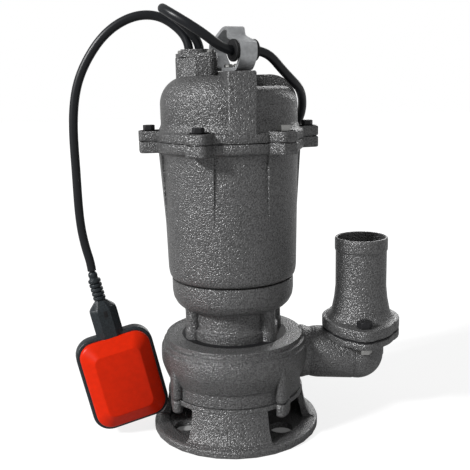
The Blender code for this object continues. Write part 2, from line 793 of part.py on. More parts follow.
def make_outlet_gasket():
    """The dark gasket between the two outlet flanges."""
    low = ELBOW_TOP_Z + GAP
    holes = [circle(x, y, OUTLET_BOLT_R + GAP, SMALL) for x, y in outlet_bolt_places()]
    bore = circle(OUTLET_X, OUTLET_Y, SPIGOT_BORE_R, ROUND)
    return plate("outlet_gasket", [flange_outline(), bore, *holes], low, low + GASKET_T, RUBBER)


def make_hose_spigot():
    """The hose spigot: a straight tail with a lip, flared into a two-bolt flange."""
    low = ELBOW_TOP_Z + GASKET_T + 2 * GAP
    flange_top = low + SPIGOT_FLANGE_T
    lip_low = SPIGOT_TOP_Z - SPIGOT_LIP_H
    outside = [(0.0, SPIGOT_TOP_Z), (SPIGOT_LIP_R, SPIGOT_TOP_Z), (SPIGOT_LIP_R, lip_low + 0.8),
               (SPIGOT_R, lip_low - 0.3), (SPIGOT_R, 143.0), (SPIGOT_R + 1.4, 130.0),
               (SPIGOT_R + 4.2, 116.0), (SPIGOT_FOOT_R, flange_top + 0.6),
               (SPIGOT_FOOT_R, flange_top - 3.0), (0.0, flange_top - 3.0)]
    frame = move(OUTLET_X, OUTLET_Y)
    spigot = turned("hose_spigot", outside, CAST_IRON, ROUND, frame)
    join(spigot, plate("spigot_flange", [flange_outline()], low, flange_top, None))
    cut(spigot, rod("tail_bore", RISER_BORE_R + 1.0, low - 4.0, SPIGOT_TOP_Z + 4.0, None,
                    frame @ turn("Z", CUTTER_TURN), ROUND, SPIGOT_BORE_R))
    for x, y in outlet_bolt_places():
        cut(spigot, rod("flange_hole", OUTLET_BOLT_R + GAP, low - 5.0, flange_top + 5.0, None, move(x, y)))
    return spigot


def make_outlet_fixing(number, x, y):
    """One bolt of the outlet flange and its nut."""
    seat = ELBOW_TOP_Z + GASKET_T + 3 * GAP + SPIGOT_FLANGE_T
    hex_bolt(f"outlet_bolt_{number}", OUTLET_HEX, OUTLET_HEAD_H, OUTLET_BOLT_R, OUTLET_BOLT_L,
             BLACK_STEEL, move(x, y, seat))
    top = ELBOW_TOP_Z - ELBOW_FLANGE_T - GAP
    plate(f"outlet_nut_{number}", [hexagon(OUTLET_HEX), circle(0, 0, OUTLET_BOLT_R + GAP, SMALL)],
          top - OUTLET_NUT_H, top, STEEL, move(x, y))


# ---------------------------------------------------------------- shaft line

def make_shaft():
    """The stepped motor shaft, from the impeller nut to the upper bearing."""
    low_shoulder = LOWER_BEARING_Z + BEARING_T + GAP
    high_shoulder = UPPER_BEARING_Z - GAP
    return turned("shaft", [
        (0.0, SHAFT_TOP_Z), (SHAFT_R, SHAFT_TOP_Z), (SHAFT_R, high_shoulder),
        (SHAFT_BODY_R, high_shoulder), (SHAFT_BODY_R, low_shoulder), (SHAFT_R, low_shoulder),
        (SHAFT_R, SHAFT_END_Z + 1.0), (SHAFT_R - 1.0, SHAFT_END_Z), (0.0, SHAFT_END_Z)], STEEL, MEDIUM)


def make_bearing(name, low):
    """A ball bearing, with the groove between its races."""
    high = low + BEARING_T
    inner = SHAFT_R + GAP
    race, outer = inner + 3.0, BEARING_R - 2.5
    return turned(name, [(BEARING_R, high), (BEARING_R, low), (inner, low), (inner, high),
                         (race, high), (race + 0.6, high - 1.0), (outer, high - 1.0), (outer, high)],
                  STEEL, SMALL + 4)


def make_seal(name, radius, low, high):
    """One ring of the shaft seal."""
    bore = SHAFT_R + GAP if name == "seal_rotating" else SHAFT_R + 2 * GAP
    return bored_disc(name, radius, bore, low, high, CERAMIC)


def make_stator_core():
    """The stator stack, with slots for the windings in its bore."""
    bore = []
    pitch = 360.0 / SLOT_COUNT
    for first in spaced(0.0, SLOT_COUNT):
        for radius, part in ((STATOR_BORE_R, -0.5), (STATOR_BORE_R, -0.2), (STATOR_BORE_R + SLOT_DEPTH, -0.25),
                             (STATOR_BORE_R + SLOT_DEPTH, 0.25), (STATOR_BORE_R, 0.2)):
            bore.append(at_angle(radius, first + part * pitch))
    return plate("stator_core", [circle(0, 0, STATOR_R, ROUND), bore], CORE_LOW_Z, CORE_TOP_Z, LAMINATION)


def make_winding(name, low):
    """The end turns of the windings, as one rounded ring."""
    inner, outer = STATOR_BORE_R + 2.5, STATOR_R - 5.0
    high = low + WINDING_H
    return turned(name, [(outer - 3.0, high), (outer, (low + high) / 2), (outer - 3.0, low),
                         (inner + 2.0, low), (inner, (low + high) / 2), (inner + 2.0, high)],
                  COPPER, MEDIUM)


# ---------------------------------------------------------------- motor casing and cover

def lug_outline(angle):
    """A bolt lug in plan: round at the bolt and wider at its root."""
    x, y = at_angle(LUG_PITCH, angle)
    return hull(circle(x, y, LUG_R, POST_SIDES)
                + [at_angle(LUG_ROOT_R, angle + side * LUG_SPREAD) for side in (-1.0, 1.0)])


def make_motor_casing():
    """The barrel, with a rounded lower edge, a bolting ring and six lugs with fading ribs."""
    low = STAGE_TOP_Z + GAP
    casing = turned("motor_casing", [
        (RING_R, PARTING_Z), (RING_R, RING_LOW_Z), (BARREL_TOP_R + 1.2, RING_LOW_Z - 2.0),
        (BARREL_TOP_R, RING_LOW_Z - 6.0), (BARREL_LOW_R, low + 8.0), (BARREL_LOW_R - 1.4, low + 2.5),
        (BARREL_LOW_R - 4.6, low), (CASING_HOLE_R, low), (CASING_HOLE_R, low + CASING_FLOOR_T),
        (STATOR_R + GAP, low + CASING_FLOOR_T), (STATOR_R + GAP, BRACKET_Z - GAP),
        (BRACKET_R + GAP, BRACKET_Z - GAP), (BRACKET_R + GAP, PARTING_Z)], CAST_IRON)
    rib = [(62.0, 287.0), (LUG_PITCH + 3.0, 287.0), (74.0, 279.0), (68.6, 262.0), (65.6, 236.0), (62.0, 236.0)]
    for angle in spaced(LUG_FIRST, LUG_COUNT):
        across = turn("Z", angle - 90.0) @ turn("X", 90.0)
        join(casing, plate("lug", [lug_outline(angle)], LUG_LOW_Z, PARTING_Z, None),
             plate("rib", [rib], -8.0, 8.0, None, across))
        cut(casing, rod("bolt_bore", COVER_BOLT_R + GAP, LUG_LOW_Z + 1.0, PARTING_Z + 5.0, None,
                        move(*at_angle(LUG_PITCH, angle))))
    return casing


def make_bearing_bracket():
    """The disc inside the casing that holds the upper bearing."""
    seat = UPPER_BEARING_Z - GAP
    top = BRACKET_Z + BRACKET_T
    hub_top = UPPER_BEARING_Z + BEARING_T
    return turned("bearing_bracket", [
        (HUB_R, hub_top), (HUB_R, top), (BRACKET_R, top), (BRACKET_R, BRACKET_Z),
        (SHAFT_R + 3.0, BRACKET_Z), (SHAFT_R + 3.0, seat), (BEARING_R + GAP, seat),
        (BEARING_R + GAP, hub_top)], CAST_IRON)


def dome_profile(radius, top, shoulder, steps):
    """Half the outline of a dome with a flat top, down to the foot of its round shoulder."""
    return [(0.0, top)] + arc(radius - shoulder, top - shoulder, shoulder, 90.0, 0.0, steps)


def make_pier():
    """The raised rib across the dome that carries the handle."""
    length = PIER_FRONT + PIER_BACK
    low = COVER_RING_TOP_Z - 4.0
    return block("pier", (PIER_W, length, PIER_TOP_Z - low),
                 (0.0, (PIER_BACK - PIER_FRONT) / 2, (PIER_TOP_Z + low) / 2), None,
                 turn("Z", PIER_TURN), 1.2)


def ear_places():
    """The two screw axes of the cable gland."""
    lean = math.radians(EAR_TURN)
    reach_x, reach_y = EAR_SPREAD * math.cos(lean), EAR_SPREAD * math.sin(lean)
    return [(TOWER_X - reach_x, TOWER_Y - reach_y), (TOWER_X + reach_x, TOWER_Y + reach_y)]


def make_tower():
    """The square gland tower, its corner to the front, with an ear for each screw."""
    cavity_top = STEP_TOP_Z - COVER_WALL
    tower = block("tower", (TOWER_SIDE, TOWER_SIDE, TOWER_TOP_Z - cavity_top),
                  (0.0, 0.0, (TOWER_TOP_Z + cavity_top) / 2), None,
                  move(TOWER_X, TOWER_Y) @ turn("Z", 45.0), 0.8)
    for x, y in ear_places():
        join(tower, rod("ear", EAR_R, EAR_LOW_Z, TOWER_TOP_Z, None, move(x, y), POST_SIDES))
    return tower


def make_top_cover():
    """The domed cover with its stepped quarter, pier, gland tower and bolting lugs."""
    low = PARTING_Z + GAP
    cover = turned("top_cover", dome_profile(DOME_R, DOME_TOP_Z, DOME_SHOULDER, 5) + [
        (DOME_R, 310.5), (DOME_R + 2.4, 305.8), (RING_R, COVER_RING_TOP_Z), (RING_R, low), (0.0, low)],
        CAST_IRON)
    cut(cover, block("step", (82.0, 95.0, 40.0), (STEP_X + 41.0, STEP_Y - 47.5, STEP_LOW_Z + 20.0), None))
    step_r = DOME_R - GAP
    shoulder = dome_profile(step_r, STEP_TOP_Z, STEP_SHOULDER, 4)
    join(cover, turned("step_dome", shoulder + [(step_r, STEP_LOW_Z - 5.0), (0.0, STEP_LOW_Z - 5.0)], None),
         make_pier(), make_tower())
    for angle in spaced(LUG_FIRST, LUG_COUNT):
        join(cover, plate("cover_lug", [lug_outline(angle)], low, LUG_TOP_Z, None))
    inner = DOME_R - COVER_WALL
    hollow = [(0.0, STEP_TOP_Z - COVER_WALL), (inner - 10.0, STEP_TOP_Z - COVER_WALL),
              (inner, STEP_TOP_Z - COVER_WALL - 10.0), (inner, low - 5.0), (0.0, low - 5.0)]
    cut(cover, turned("hollow", hollow, None, MEDIUM, turn("Z", CUTTER_TURN)),
        plate("gland_slot", [slot_outline(GLAND_X, TOWER_Y, LEAD_SPREAD, GLAND_SLOT_R)],
              GLAND_LOW_Z, TOWER_TOP_Z + 5.0, None),
        rod("wire_way", 4.5, STEP_TOP_Z - 2 * COVER_WALL, GLAND_LOW_Z + 1.0, None, move(GLAND_X, TOWER_Y)))
    for x, y in ear_places():
        cut(cover, rod("ear_bore", GLAND_SCREW_R + GAP, EAR_LOW_Z + 6.0, TOWER_TOP_Z + 5.0, None, move(x, y)))
    for angle in spaced(LUG_FIRST, LUG_COUNT):
        cut(cover, rod("lug_bore", COVER_BOLT_R + GAP, low - 5.0, LUG_TOP_Z + 5.0, None,
                       move(*at_angle(LUG_PITCH, angle))))
    for along in HANDLE_SCREWS:
        cut(cover, rod("handle_bore", HANDLE_SCREW_R + GAP, PIER_TOP_Z - 10.0, PIER_TOP_Z + 5.0, None,
                       handle_frame() @ move(along, 0.0)))
    return cover


def make_cover_bolt(number, angle):
    """One hexagon bolt of the cover."""
    frame = move(*at_angle(LUG_PITCH, angle), LUG_TOP_Z + GAP)
    return hex_bolt(f"cover_bolt_{number}", COVER_BOLT_HEX, COVER_BOLT_HEAD_H, COVER_BOLT_R,
                    COVER_BOLT_L, BLACK_STEEL, frame)


def make_capacitor():
    """The start capacitor, standing on the bearing bracket."""
    low = BRACKET_Z + BRACKET_T + GAP
    high = low + CAPACITOR_H
    return turned("capacitor", [(0.0, high), (CAPACITOR_R - 1.5, high), (CAPACITOR_R, high - 1.5),
                                (CAPACITOR_R, low), (0.0, low)], PALE_PLASTIC, SMALL, move(0.0, CAPACITOR_Y))


def make_capacitor_clip():
    """The ring that holds the capacitor, with a foot on the bracket."""
    foot = BRACKET_Z + BRACKET_T + GAP
    inner, outer = CAPACITOR_R + GAP, CAPACITOR_R + 1.8
    clip = turned("capacitor_clip", [(outer, foot + 21.0), (outer, foot + 13.0), (inner, foot + 13.0),
                                     (inner, foot + 21.0)], STEEL, SMALL, move(0.0, CAPACITOR_Y))
    join(clip, block("clip_foot", (1.4, 9.0, 20.0), (outer - 0.5, CAPACITOR_Y, foot + 10.0), None))
    return clip


# ---------------------------------------------------------------- gland, handle, cord holder

def lead_places():
    """The two lead axes in the gland: float lead, then mains lead."""
    return [(GLAND_X - LEAD_SPREAD, TOWER_Y), (GLAND_X + LEAD_SPREAD, TOWER_Y)]


def make_gland_rubber():
    """The rubber block that seals both leads in the tower."""
    outline = slot_outline(GLAND_X, TOWER_Y, LEAD_SPREAD, GLAND_SLOT_R - GAP)
    holes = [circle(x, y, LEAD_BORE_R, SMALL) for x, y in lead_places()]
    return plate("gland_rubber", [outline, *holes], GLAND_LOW_Z + GAP, TOWER_TOP_Z, RUBBER)


def make_gland_plate():
    """The press plate with its raised collar round both leads."""
    low = TOWER_TOP_Z + GAP
    places = slot_outline(GLAND_X, TOWER_Y, LEAD_SPREAD, COLLAR_R + 0.6)
    for x, y in ear_places():
        places = places + circle(x, y, EAR_R - 0.4, POST_SIDES)
    pressed = plate("gland_plate", [hull(places)], low, low + PRESS_PLATE_T, CAST_IRON)
    join(pressed, plate("collar_wall", [slot_outline(GLAND_X, TOWER_Y, LEAD_SPREAD, COLLAR_R)],
                        low + 1.0, COLLAR_TOP_Z, None))
    cut(pressed, plate("collar_way", [slot_outline(GLAND_X, TOWER_Y, LEAD_SPREAD, GLAND_SLOT_R)],
                       low - 5.0, COLLAR_TOP_Z + 5.0, None))
    for x, y in ear_places():
        cut(pressed, rod("plate_hole", GLAND_SCREW_R + GAP, low - 5.0, low + 8.0, None, move(x, y)))
    return pressed


def make_gland_screw(number, x, y):
    """One screw of the press plate."""
    seat = TOWER_TOP_Z + PRESS_PLATE_T + 2 * GAP
    return round_screw(f"gland_screw_{number}", 3.9, 2.8, GLAND_SCREW_R, 16.0, STEEL, move(x, y, seat))


def handle_frame():
    """The handle's frame: its own X runs along the strap's loop."""
    return move(HANDLE_X, HANDLE_Y) @ turn("Z", HANDLE_TURN)


def make_handle():
    """The lifting handle: a bent strap that closes in a loop on the pier."""
    outline = list(HANDLE_OUTLINE)
    upright = handle_frame() @ turn("X", 90.0)
    handle = plate("handle", [round_corners(outline, 4.0), round_corners(inset(outline, HANDLE_T), 2.0)],
                   -HANDLE_W / 2, HANDLE_W / 2, GALVANIZED, upright)
    for along in HANDLE_SCREWS:
        cut(handle, rod("strap_hole", HANDLE_SCREW_R + GAP, PIER_TOP_Z - 3.0, PIER_TOP_Z + 6.0, None,
                        handle_frame() @ move(along, 0.0)))
    return handle


def make_handle_screw(number, along):
    """One screw that holds the strap's foot on the pier."""
    seat = PIER_TOP_Z + HANDLE_T + 2 * GAP
    return round_screw(f"handle_screw_{number}", 4.8, 3.0, HANDLE_SCREW_R, 11.0, STEEL,
                       handle_frame() @ move(along, 0.0, seat))


def holder_frame():
    """The frame of the cord holder, whose own Z runs through the strap."""
    return handle_frame() @ move(HOLDER_S, 0.0, HOLDER_Z) @ turn("X", -90.0)


def make_cord_holder():
    """The rubber spool in the strap's corner that carries the mains lead."""
    seat = HANDLE_W / 2 + GAP
    end = seat + HOLDER_LIP_T
    lip = HOLDER_LIP_R
    return turned("cord_holder", [
        (lip - 1.0, end), (lip, end - 1.0), (lip, seat), (HOLDER_R, seat), (HOLDER_R, -seat),
        (lip, -seat), (lip, 1.0 - end), (lip - 1.0, -end), (LEAD_BORE_R, -end), (LEAD_BORE_R, end)],
        RUBBER, SMALL + 6, holder_frame())


# ---------------------------------------------------------------- leads and plug

def holder_point(along, lift=0.0):
    """A point on the cord holder's axis, in millimetres."""
    place = holder_frame() @ move(0.0, 0.0, along).to_translation()
    return place[0] / MM, place[1] / MM, place[2] / MM + lift


def make_float_lead():
    """The lead from the gland, over in an arch and down to the float."""
    x, y = lead_places()[0]
    route = [(x, y, 376.0), (x, y, 382.0), (-38.9, -13.0, 391.5), (-48.3, -11.0, 402.5),
             (-62.1, -11.0, 410.8), (-77.6, -12.3, 412.9), (-96.1, -13.7, 407.9), (-112.2, -15.1, 397.2),
             (-128.3, -16.0, 378.2), (-141.3, -16.6, 352.5), (-147.0, -17.3, 325.1), (-148.2, -18.0, 270.0),
             (-148.0, -18.2, 239.9), (-146.4, -18.1, 211.0), (-142.3, -18.0, 188.5),
             (HINGE_X - 1.8, HINGE_Y, HINGE_Z + 13.5), (HINGE_X - 0.6, HINGE_Y, HINGE_Z + LEAD_R + GAP)]
    return tube("float_lead", [(x, y, LEAD_LOW_Z)] + smooth_route(route, LEAD_STEP), LEAD_R, CORD, 2)


def make_mains_lead():
    """The mains lead: from the gland, round through the cord holder and down behind the pump."""
    x, y = lead_places()[1]
    crest = [(x, y, 376.0), (x - 0.1, y - 0.4, 381.0), (-29.5, -18.5, 391.0), (-38.0, -24.0, 401.5),
             (-48.5, -30.5, 410.5), (-55.8, -41.0, 415.3), (-54.0, -56.0, 413.8), (-40.0, -68.5, 404.9),
             (-19.5, -68.0, 391.5), (-6.0, -57.5, 382.0), holder_point(-13.5)]
    drop = [holder_point(13.5), (37.0, -28.5, 374.3), (48.5, -18.5, 363.5), (60.8, -7.0, 351.0),
            (69.0, 6.0, 342.0), (73.0, 20.5, 330.5), (72.2, 38.5, 313.5), (61.5, 58.0, 290.1), (46.5, 74.2, 262.1),
            (30.5, 85.8, 225.1), (16.5, 91.8, 185.1), (9.0, 94.0, 145.0), (5.5, 94.5, 112.0),
            (1.5, 94.5, 80.0), (-4.5, 95.5, 50.0), (-12.5, 99.0, 26.0), (-21.5, 105.0, 11.0),
            coil_point(0.0, -2.0 * STRAIGHT - GAP)]
    points = [(x, y, LEAD_LOW_Z)] + smooth_route(crest, LEAD_STEP) + smooth_route(drop, LEAD_STEP)
    points.append(coil_point(0.0, -STRAIGHT - GAP))
    return tube("mains_lead", points, LEAD_R, CORD, 2)


def coil_radius(turns):
    """The coil's radius: it spirals in and out by turns, one layer at a time."""
    layer_turns = COIL_TURNS / COIL_LAYERS
    place = (turns / layer_turns) % 2.0
    inwards = min(place, 2.0 - place)
    return COIL_MEAN_R + COIL_STEP * layer_turns * (0.5 - inwards)


def coil_height(turns):
    """The coil's height: level in a layer, and rising in the half turn where the spiral reverses."""
    layer_turns = COIL_TURNS / COIL_LAYERS
    height = COIL_LOW_Z
    for layer in range(1, COIL_LAYERS):
        rise = min(max((turns - layer * layer_turns) * 2.0 + 0.5, 0.0), 1.0)
        height += COIL_LAYER_H * rise * rise * (3.0 - 2.0 * rise)
    return height


def coil_point(turns, along=0.0):
    """A point of the coil, or one this far beyond it along its tangent."""
    angle = math.radians(COIL_START - 360.0 * turns)
    radius = coil_radius(turns)
    return (COIL_X + radius * math.cos(angle) + along * math.sin(angle),
            COIL_Y + radius * math.sin(angle) - along * math.cos(angle), coil_height(turns))


def plug_point(along):
    """A point on the plug's axis, in millimetres."""
    lean = math.radians(PLUG_TURN)
    return PLUG_X + along * math.cos(lean), PLUG_Y + along * math.sin(lean), PLUG_Z


def least_self_gap(points, loop):
    """The least distance between the tube's surfaces, a loop or more apart."""
    places = np.array(points)
    least = 1000.0
    for first in range(len(places) - loop // 2):
        away = np.linalg.norm(places[first + loop // 2:] - places[first], axis=1)
        least = min(least, float(away.min()))
    return least - 2.0 * LEAD_R


def make_mains_coil():
    """The rest of the mains lead: a neat coil on the floor, and the tail up to the plug."""
    steps = round(COIL_TURNS * COIL_POINTS)
    coil =[coil_point(0.0, -STRAIGHT)]
    coil += [coil_point(step / COIL_POINTS) for step in range(steps + 1)]
    print("coil least self-gap in mm:", round(least_self_gap(coil, COIL_POINTS), 2))
    end = PLUG_RELIEF_END - GAP
    tail = [coil_point(COIL_TURNS, STRAIGHT), (-57.9, 144.0, 33.8), (-62.8, 159.5, 38.2),
            (-61.5, 175.5, 45.0), (-54.0, 188.0, 51.5), plug_point(end - STRAIGHT)]
    points = coil + smooth_route(tail, LEAD_STEP * 0.75) + [plug_point(end)]
    return tube("mains_coil", points, LEAD_R, CORD, 1)


def plug_frame():
    """The plug's frame: its own Z runs from the lead to the pins."""
    return move(PLUG_X, PLUG_Y, PLUG_Z) @ turn("Z", PLUG_TURN) @ turn("Y", 90.0)


def make_plug_body():
    """The round plug with its tapered strain relief."""
    plug = turned("plug_body", [
        (0.0, PLUG_FACE), (PLUG_R - 1.5, PLUG_FACE), (PLUG_R, PLUG_FACE - 1.5), (PLUG_R, -4.0),
        (PLUG_R - 4.0, -13.0), (8.0, -20.0), (6.0, PLUG_RELIEF_END), (0.0, PLUG_RELIEF_END)],
        BLACK_PLASTIC, MEDIUM, plug_frame())
    for side in (-1.0, 1.0):
        cut(plug, rod("pin_hole", PIN_R + GAP, PLUG_FACE - 11.0 - GAP, PLUG_FACE + 5.0, None,
                      plug_frame() @ move(0.0, side * PIN_SPREAD)))
    return plug


def make_plug_pin(number, side):
    """One pin of the plug."""
    low = PLUG_FACE - 11.0
    high = low + PIN_L
    return turned(f"plug_pin_{number}", [(0.0, high), (PIN_R - 0.8, high), (PIN_R, high - 1.5), (PIN_R, low),
                                         (0.0, low)], STEEL, SMALL, plug_frame() @ move(0.0, side * PIN_SPREAD))


# ---------------------------------------------------------------- float switch

def float_frame():
    """The float's frame: its origin on the hinge, its own -Y the front."""
    return move(HINGE_X, HINGE_Y, HINGE_Z) @ turn("Y", -FLOAT_TILT) @ turn("Z", FLOAT_YAW)


def float_middle():
    """The height of the float's middle in its own frame."""
    return FLOAT_TOP - FLOAT_H / 2


def notch_tool():
    """The notch in the float's top that takes the boot."""
    room = 2 * GAP
    low = BOOT_LOW - GAP
    return block("notch", (BOOT_W + room, BOOT_T + room, 22.0), (0.0, 0.0, low + 11.0), None, float_frame())


def make_float_rim():
    """The black rim of the float, open at the top for the boot."""
    middle = float_middle()
    inner = FLOAT_CORNER - RIM_WALL
    rim = plate("float_rim", [round_box(FLOAT_W, FLOAT_H, FLOAT_CORNER, middle),
                              round_box(FLOAT_W - 2 * RIM_WALL, FLOAT_H - 2 * RIM_WALL, inner, middle)],
                -RIM_T / 2, RIM_T / 2, BLACK_PLASTIC, float_frame() @ turn("X", 90.0))
    cut(rim, notch_tool())
    return rim


def shell_ring(width, height, radius, depth):
    """One ring of a float shell, this far in front of the float's middle."""
    return [(x, -depth, z) for x, z in round_box(width, height, radius, float_middle())]


def make_float_shell(name, facing):
    """A dished shell with a raised middle facet and sloping borders."""
    seat = RIM_T / 2 + GAP
    top = seat + SHELL_RISE
    wall = 2 * SHELL_T
    rings = [shell_ring(FACET_W - 3.0, FACET_H - 3.0, 6.0, top - SHELL_T),
             shell_ring(SHELL_W - wall, SHELL_H - wall, FLOAT_CORNER - 3.0 - SHELL_T, seat + 0.8),
             shell_ring(SHELL_W - wall, SHELL_H - wall, FLOAT_CORNER - 3.0 - SHELL_T, seat),
             shell_ring(SHELL_W, SHELL_H, FLOAT_CORNER - 3.0, seat),
             shell_ring(SHELL_W, SHELL_H, FLOAT_CORNER - 3.0, seat + 2.5),
             shell_ring(FACET_W, FACET_H, 8.0, top)]
    rings = [[(x, y * facing, z) for x, y, z in ring] for ring in rings]
    shell = loft(name, rings, FLOAT_RED, float_frame())
    cut(shell, notch_tool())
    return shell


def relief_profile():
    """The ribbed strain relief: a ball on the hinge, a thin neck, then ribs."""
    profile = [(0.0, LEAD_R)] + arc(0.0, 0.0, LEAD_R, 70.0, -40.0, 5) + [(3.3, RELIEF_TOP + 0.6)]
    pitch = (RELIEF_TOP - RELIEF_LOW) / RELIEF_RIBS
    for rib in range(RELIEF_RIBS):
        top = RELIEF_TOP - rib * pitch
        profile += [(4.8, top), (RELIEF_R, top - 0.5), (RELIEF_R, top - pitch + 2.0), (4.8, top - pitch + 1.2)]
    return profile + [(4.8, RELIEF_LOW - 3.0), (0.0, RELIEF_LOW - 3.0)]


def boot_ring(width, depth, height):
    """One ring of the boot."""
    return [(x, y, height) for x, y in round_box(width, depth, 2.0, 0.0, 1)]


def make_float_boot():
    """The block where the lead enters the float, with its ribbed strain relief."""
    boot = loft("float_boot", [boot_ring(10.5, 10.0, RELIEF_LOW), boot_ring(BOOT_W, BOOT_T, BOOT_SHOULDER),
                               boot_ring(BOOT_W, BOOT_T, BOOT_LOW)], BLACK_PLASTIC, float_frame())
    join(boot, turned("relief", relief_profile(), None, POST_SIDES, float_frame()))
    return boot


def make_ball_cage():
    """The cup inside the float that the switch ball runs in, with its web to the back shell."""
    outer = CAGE_R + CAGE_WALL
    floor = CAGE_LOW + CAGE_WALL
    cage = turned("ball_cage", [(0.0, floor), (CAGE_R, floor), (CAGE_R, CAGE_TOP), (outer, CAGE_TOP),
                                (outer, CAGE_LOW), (0.0, CAGE_LOW)], BLACK_PLASTIC, SMALL, float_frame())
    back = RIM_T / 2 + SHELL_RISE - SHELL_T
    join(cage, block("web", (3.0, back - CAGE_R - 1.0, 34.0), (0.0, (back + CAGE_R + 1.0) / 2, -119.0),
                     None, float_frame()))
    return cage


def make_float_ball():
    """The steel ball that tips the switch."""
    rest = CAGE_LOW + CAGE_WALL + GAP + BALL_R
    return turned("float_ball", ball_profile(BALL_R), STEEL, SMALL, float_frame() @ move(0.0, 0.0, rest))


def make_micro_switch():
    """The switch above the ball's cup, against the back shell."""
    back = RIM_T / 2 + SHELL_RISE - SHELL_T
    return block("micro_switch", (20.0, 9.5, 9.0), (0.0, back - 4.75, -87.5), BLACK_PLASTIC, float_frame())


def make_switch_lever():
    """The thin lever under the switch that the ball lifts."""
    return block("switch_lever", (4.0, 15.0, 0.7), (0.0, 6.5, -92.7), STEEL, float_frame())


def make_joint_frame(name, frame, children):
    """An empty on a joint's axis that carries the pieces that move about it."""
    empty = bpy.data.objects.new(name, None)
    empty.empty_display_size = 0.01
    PARTS.objects.link(empty)
    empty.matrix_world = frame
    bpy.context.view_layer.update()
    for child in children:
        child.parent = empty
        child.matrix_parent_inverse = empty.matrix_world.inverted()
    return empty


# ---------------------------------------------------------------- the whole pump

def build_wet_end():
    """The foot, the volute and what is in it, the oil chamber and the outlet."""
    make_inlet_base()
    for number, angle in enumerate(spaced(BOSS_FIRST, WALL_COUNT), 1):
        make_base_screw(number, angle)
    make_volute_casing()
    make_bearing_housing()
    make_oil_plug()
    make_outlet_gasket()
    make_hose_spigot()
    for number, (x, y) in enumerate(outlet_bolt_places(), 1):
        make_outlet_fixing(number, x, y)
    tail = ROOM_TOP_Z + GAP
    make_seal("seal_fixed", SEAL_R, tail + GAP, tail + GAP + SEAL_T)


def build_rotor():
    """All that turns with the shaft."""
    hub_low = IMPELLER_HUB_LOW_Z
    pieces = [make_shaft(), make_impeller(), make_impeller_nut(),
              bored_disc("impeller_washer", WASHER_R, SHAFT_R + GAP, hub_low - GAP - WASHER_T,
                         hub_low - GAP, STEEL),
              make_seal("seal_rotating", SEAL_R - 1.0, IMPELLER_HUB_TOP_Z + GAP, ROOM_TOP_Z + GAP),
              bored_disc("rotor_core", ROTOR_R, SHAFT_BODY_R + GAP, CORE_LOW_Z, CORE_TOP_Z, LAMINATION)]
    make_joint_frame("rotor_axis", Matrix(), pieces)


def build_motor():
    """The casing with the stator, the bearings, the cover and what the cover carries."""
    make_motor_casing()
    make_stator_core()
    make_winding("winding_upper", CORE_TOP_Z + GAP)
    make_winding("winding_lower", CORE_LOW_Z - GAP - WINDING_H)
    make_bearing("lower_bearing", LOWER_BEARING_Z)
    make_bearing("upper_bearing", UPPER_BEARING_Z)
    make_bearing_bracket()
    make_top_cover()
    for number, angle in enumerate(spaced(LUG_FIRST, LUG_COUNT), 1):
        make_cover_bolt(number, angle)
    make_capacitor()
    make_capacitor_clip()


def build_top():
    """The gland, the handle, the cord holder, the leads and the plug."""
    make_gland_rubber()
    make_gland_plate()
    for number, (x, y) in enumerate(ear_places(), 1):
        make_gland_screw(number, x, y)
    make_handle()
    for number, along in enumerate(HANDLE_SCREWS, 1):
        make_handle_screw(number, along)
    make_cord_holder()
    make_float_lead()
    make_mains_lead()
    make_mains_coil()
    make_plug_body()
    for number, side in enumerate((-1.0, 1.0), 1):
        make_plug_pin(number, side)


def build_float():
    """The float switch, hung from the end of its lead."""
    pieces = [make_float_rim(), make_float_shell("float_shell_front", 1.0),
              make_float_shell("float_shell_back", -1.0), make_float_boot(), make_ball_cage(),
              make_micro_switch(), make_switch_lever()]
    make_joint_frame("float_hinge", float_frame(), pieces)
    make_joint_frame("ball_axis", float_frame(), [make_float_ball()])


clear_scene()
PARTS = new_collection("submersible_sump_pump")
GUIDES = new_collection("guides")
CAST_IRON = new_material("painted_cast_iron", (0.16, 0.16, 0.16), 0.6, 0.2)
STEEL = new_material("plated_steel", (0.55, 0.55, 0.54), 0.35, 1.0)
BLACK_STEEL = new_material("blackened_steel", (0.05, 0.05, 0.05), 0.45, 0.7)
GALVANIZED = new_material("galvanized_steel", (0.42, 0.43, 0.44), 0.4, 0.9)
BRONZE = new_material("cast_bronze", (0.45, 0.27, 0.12), 0.45, 1.0)
COPPER = new_material("copper_wire", (0.6, 0.25, 0.1), 0.4, 1.0)
LAMINATION = new_material("stacked_laminations", (0.25, 0.26, 0.28), 0.5, 0.9)
CERAMIC = new_material("seal_ceramic", (0.75, 0.74, 0.7), 0.3, 0.0)
RUBBER = new_material("black_rubber", (0.02, 0.02, 0.02), 0.75, 0.0)
CORD = new_material("cord_jacket", (0.015, 0.017, 0.02), 0.5, 0.0)
BLACK_PLASTIC = new_material("black_plastic", (0.022, 0.024, 0.026), 0.45, 0.0)
PALE_PLASTIC = new_material("pale_plastic", (0.6, 0.6, 0.58), 0.5, 0.0)
FLOAT_RED = new_material("red_plastic", (0.62, 0.04, 0.01), 0.35, 0.0)
build_wet_end()
build_rotor()
build_motor()
build_top()
build_float()
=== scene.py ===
"""Submersible cast-iron sump pump with a float switch, dressed over its CAD frame.

Each sub-assembly is a class that builds its visible pieces and puts a finish on them.  Sizes are
in millimetres and turned into metres by MM.  Angles about the shaft are in degrees from the
front (-Y) towards the outlet side (+X).
"""
import logging
import math
from dataclasses import dataclass
from enum import Enum
from typing import Callable, Iterable, Sequence

import bmesh
import bpy
import numpy as np
from mathutils import Matrix, Vector


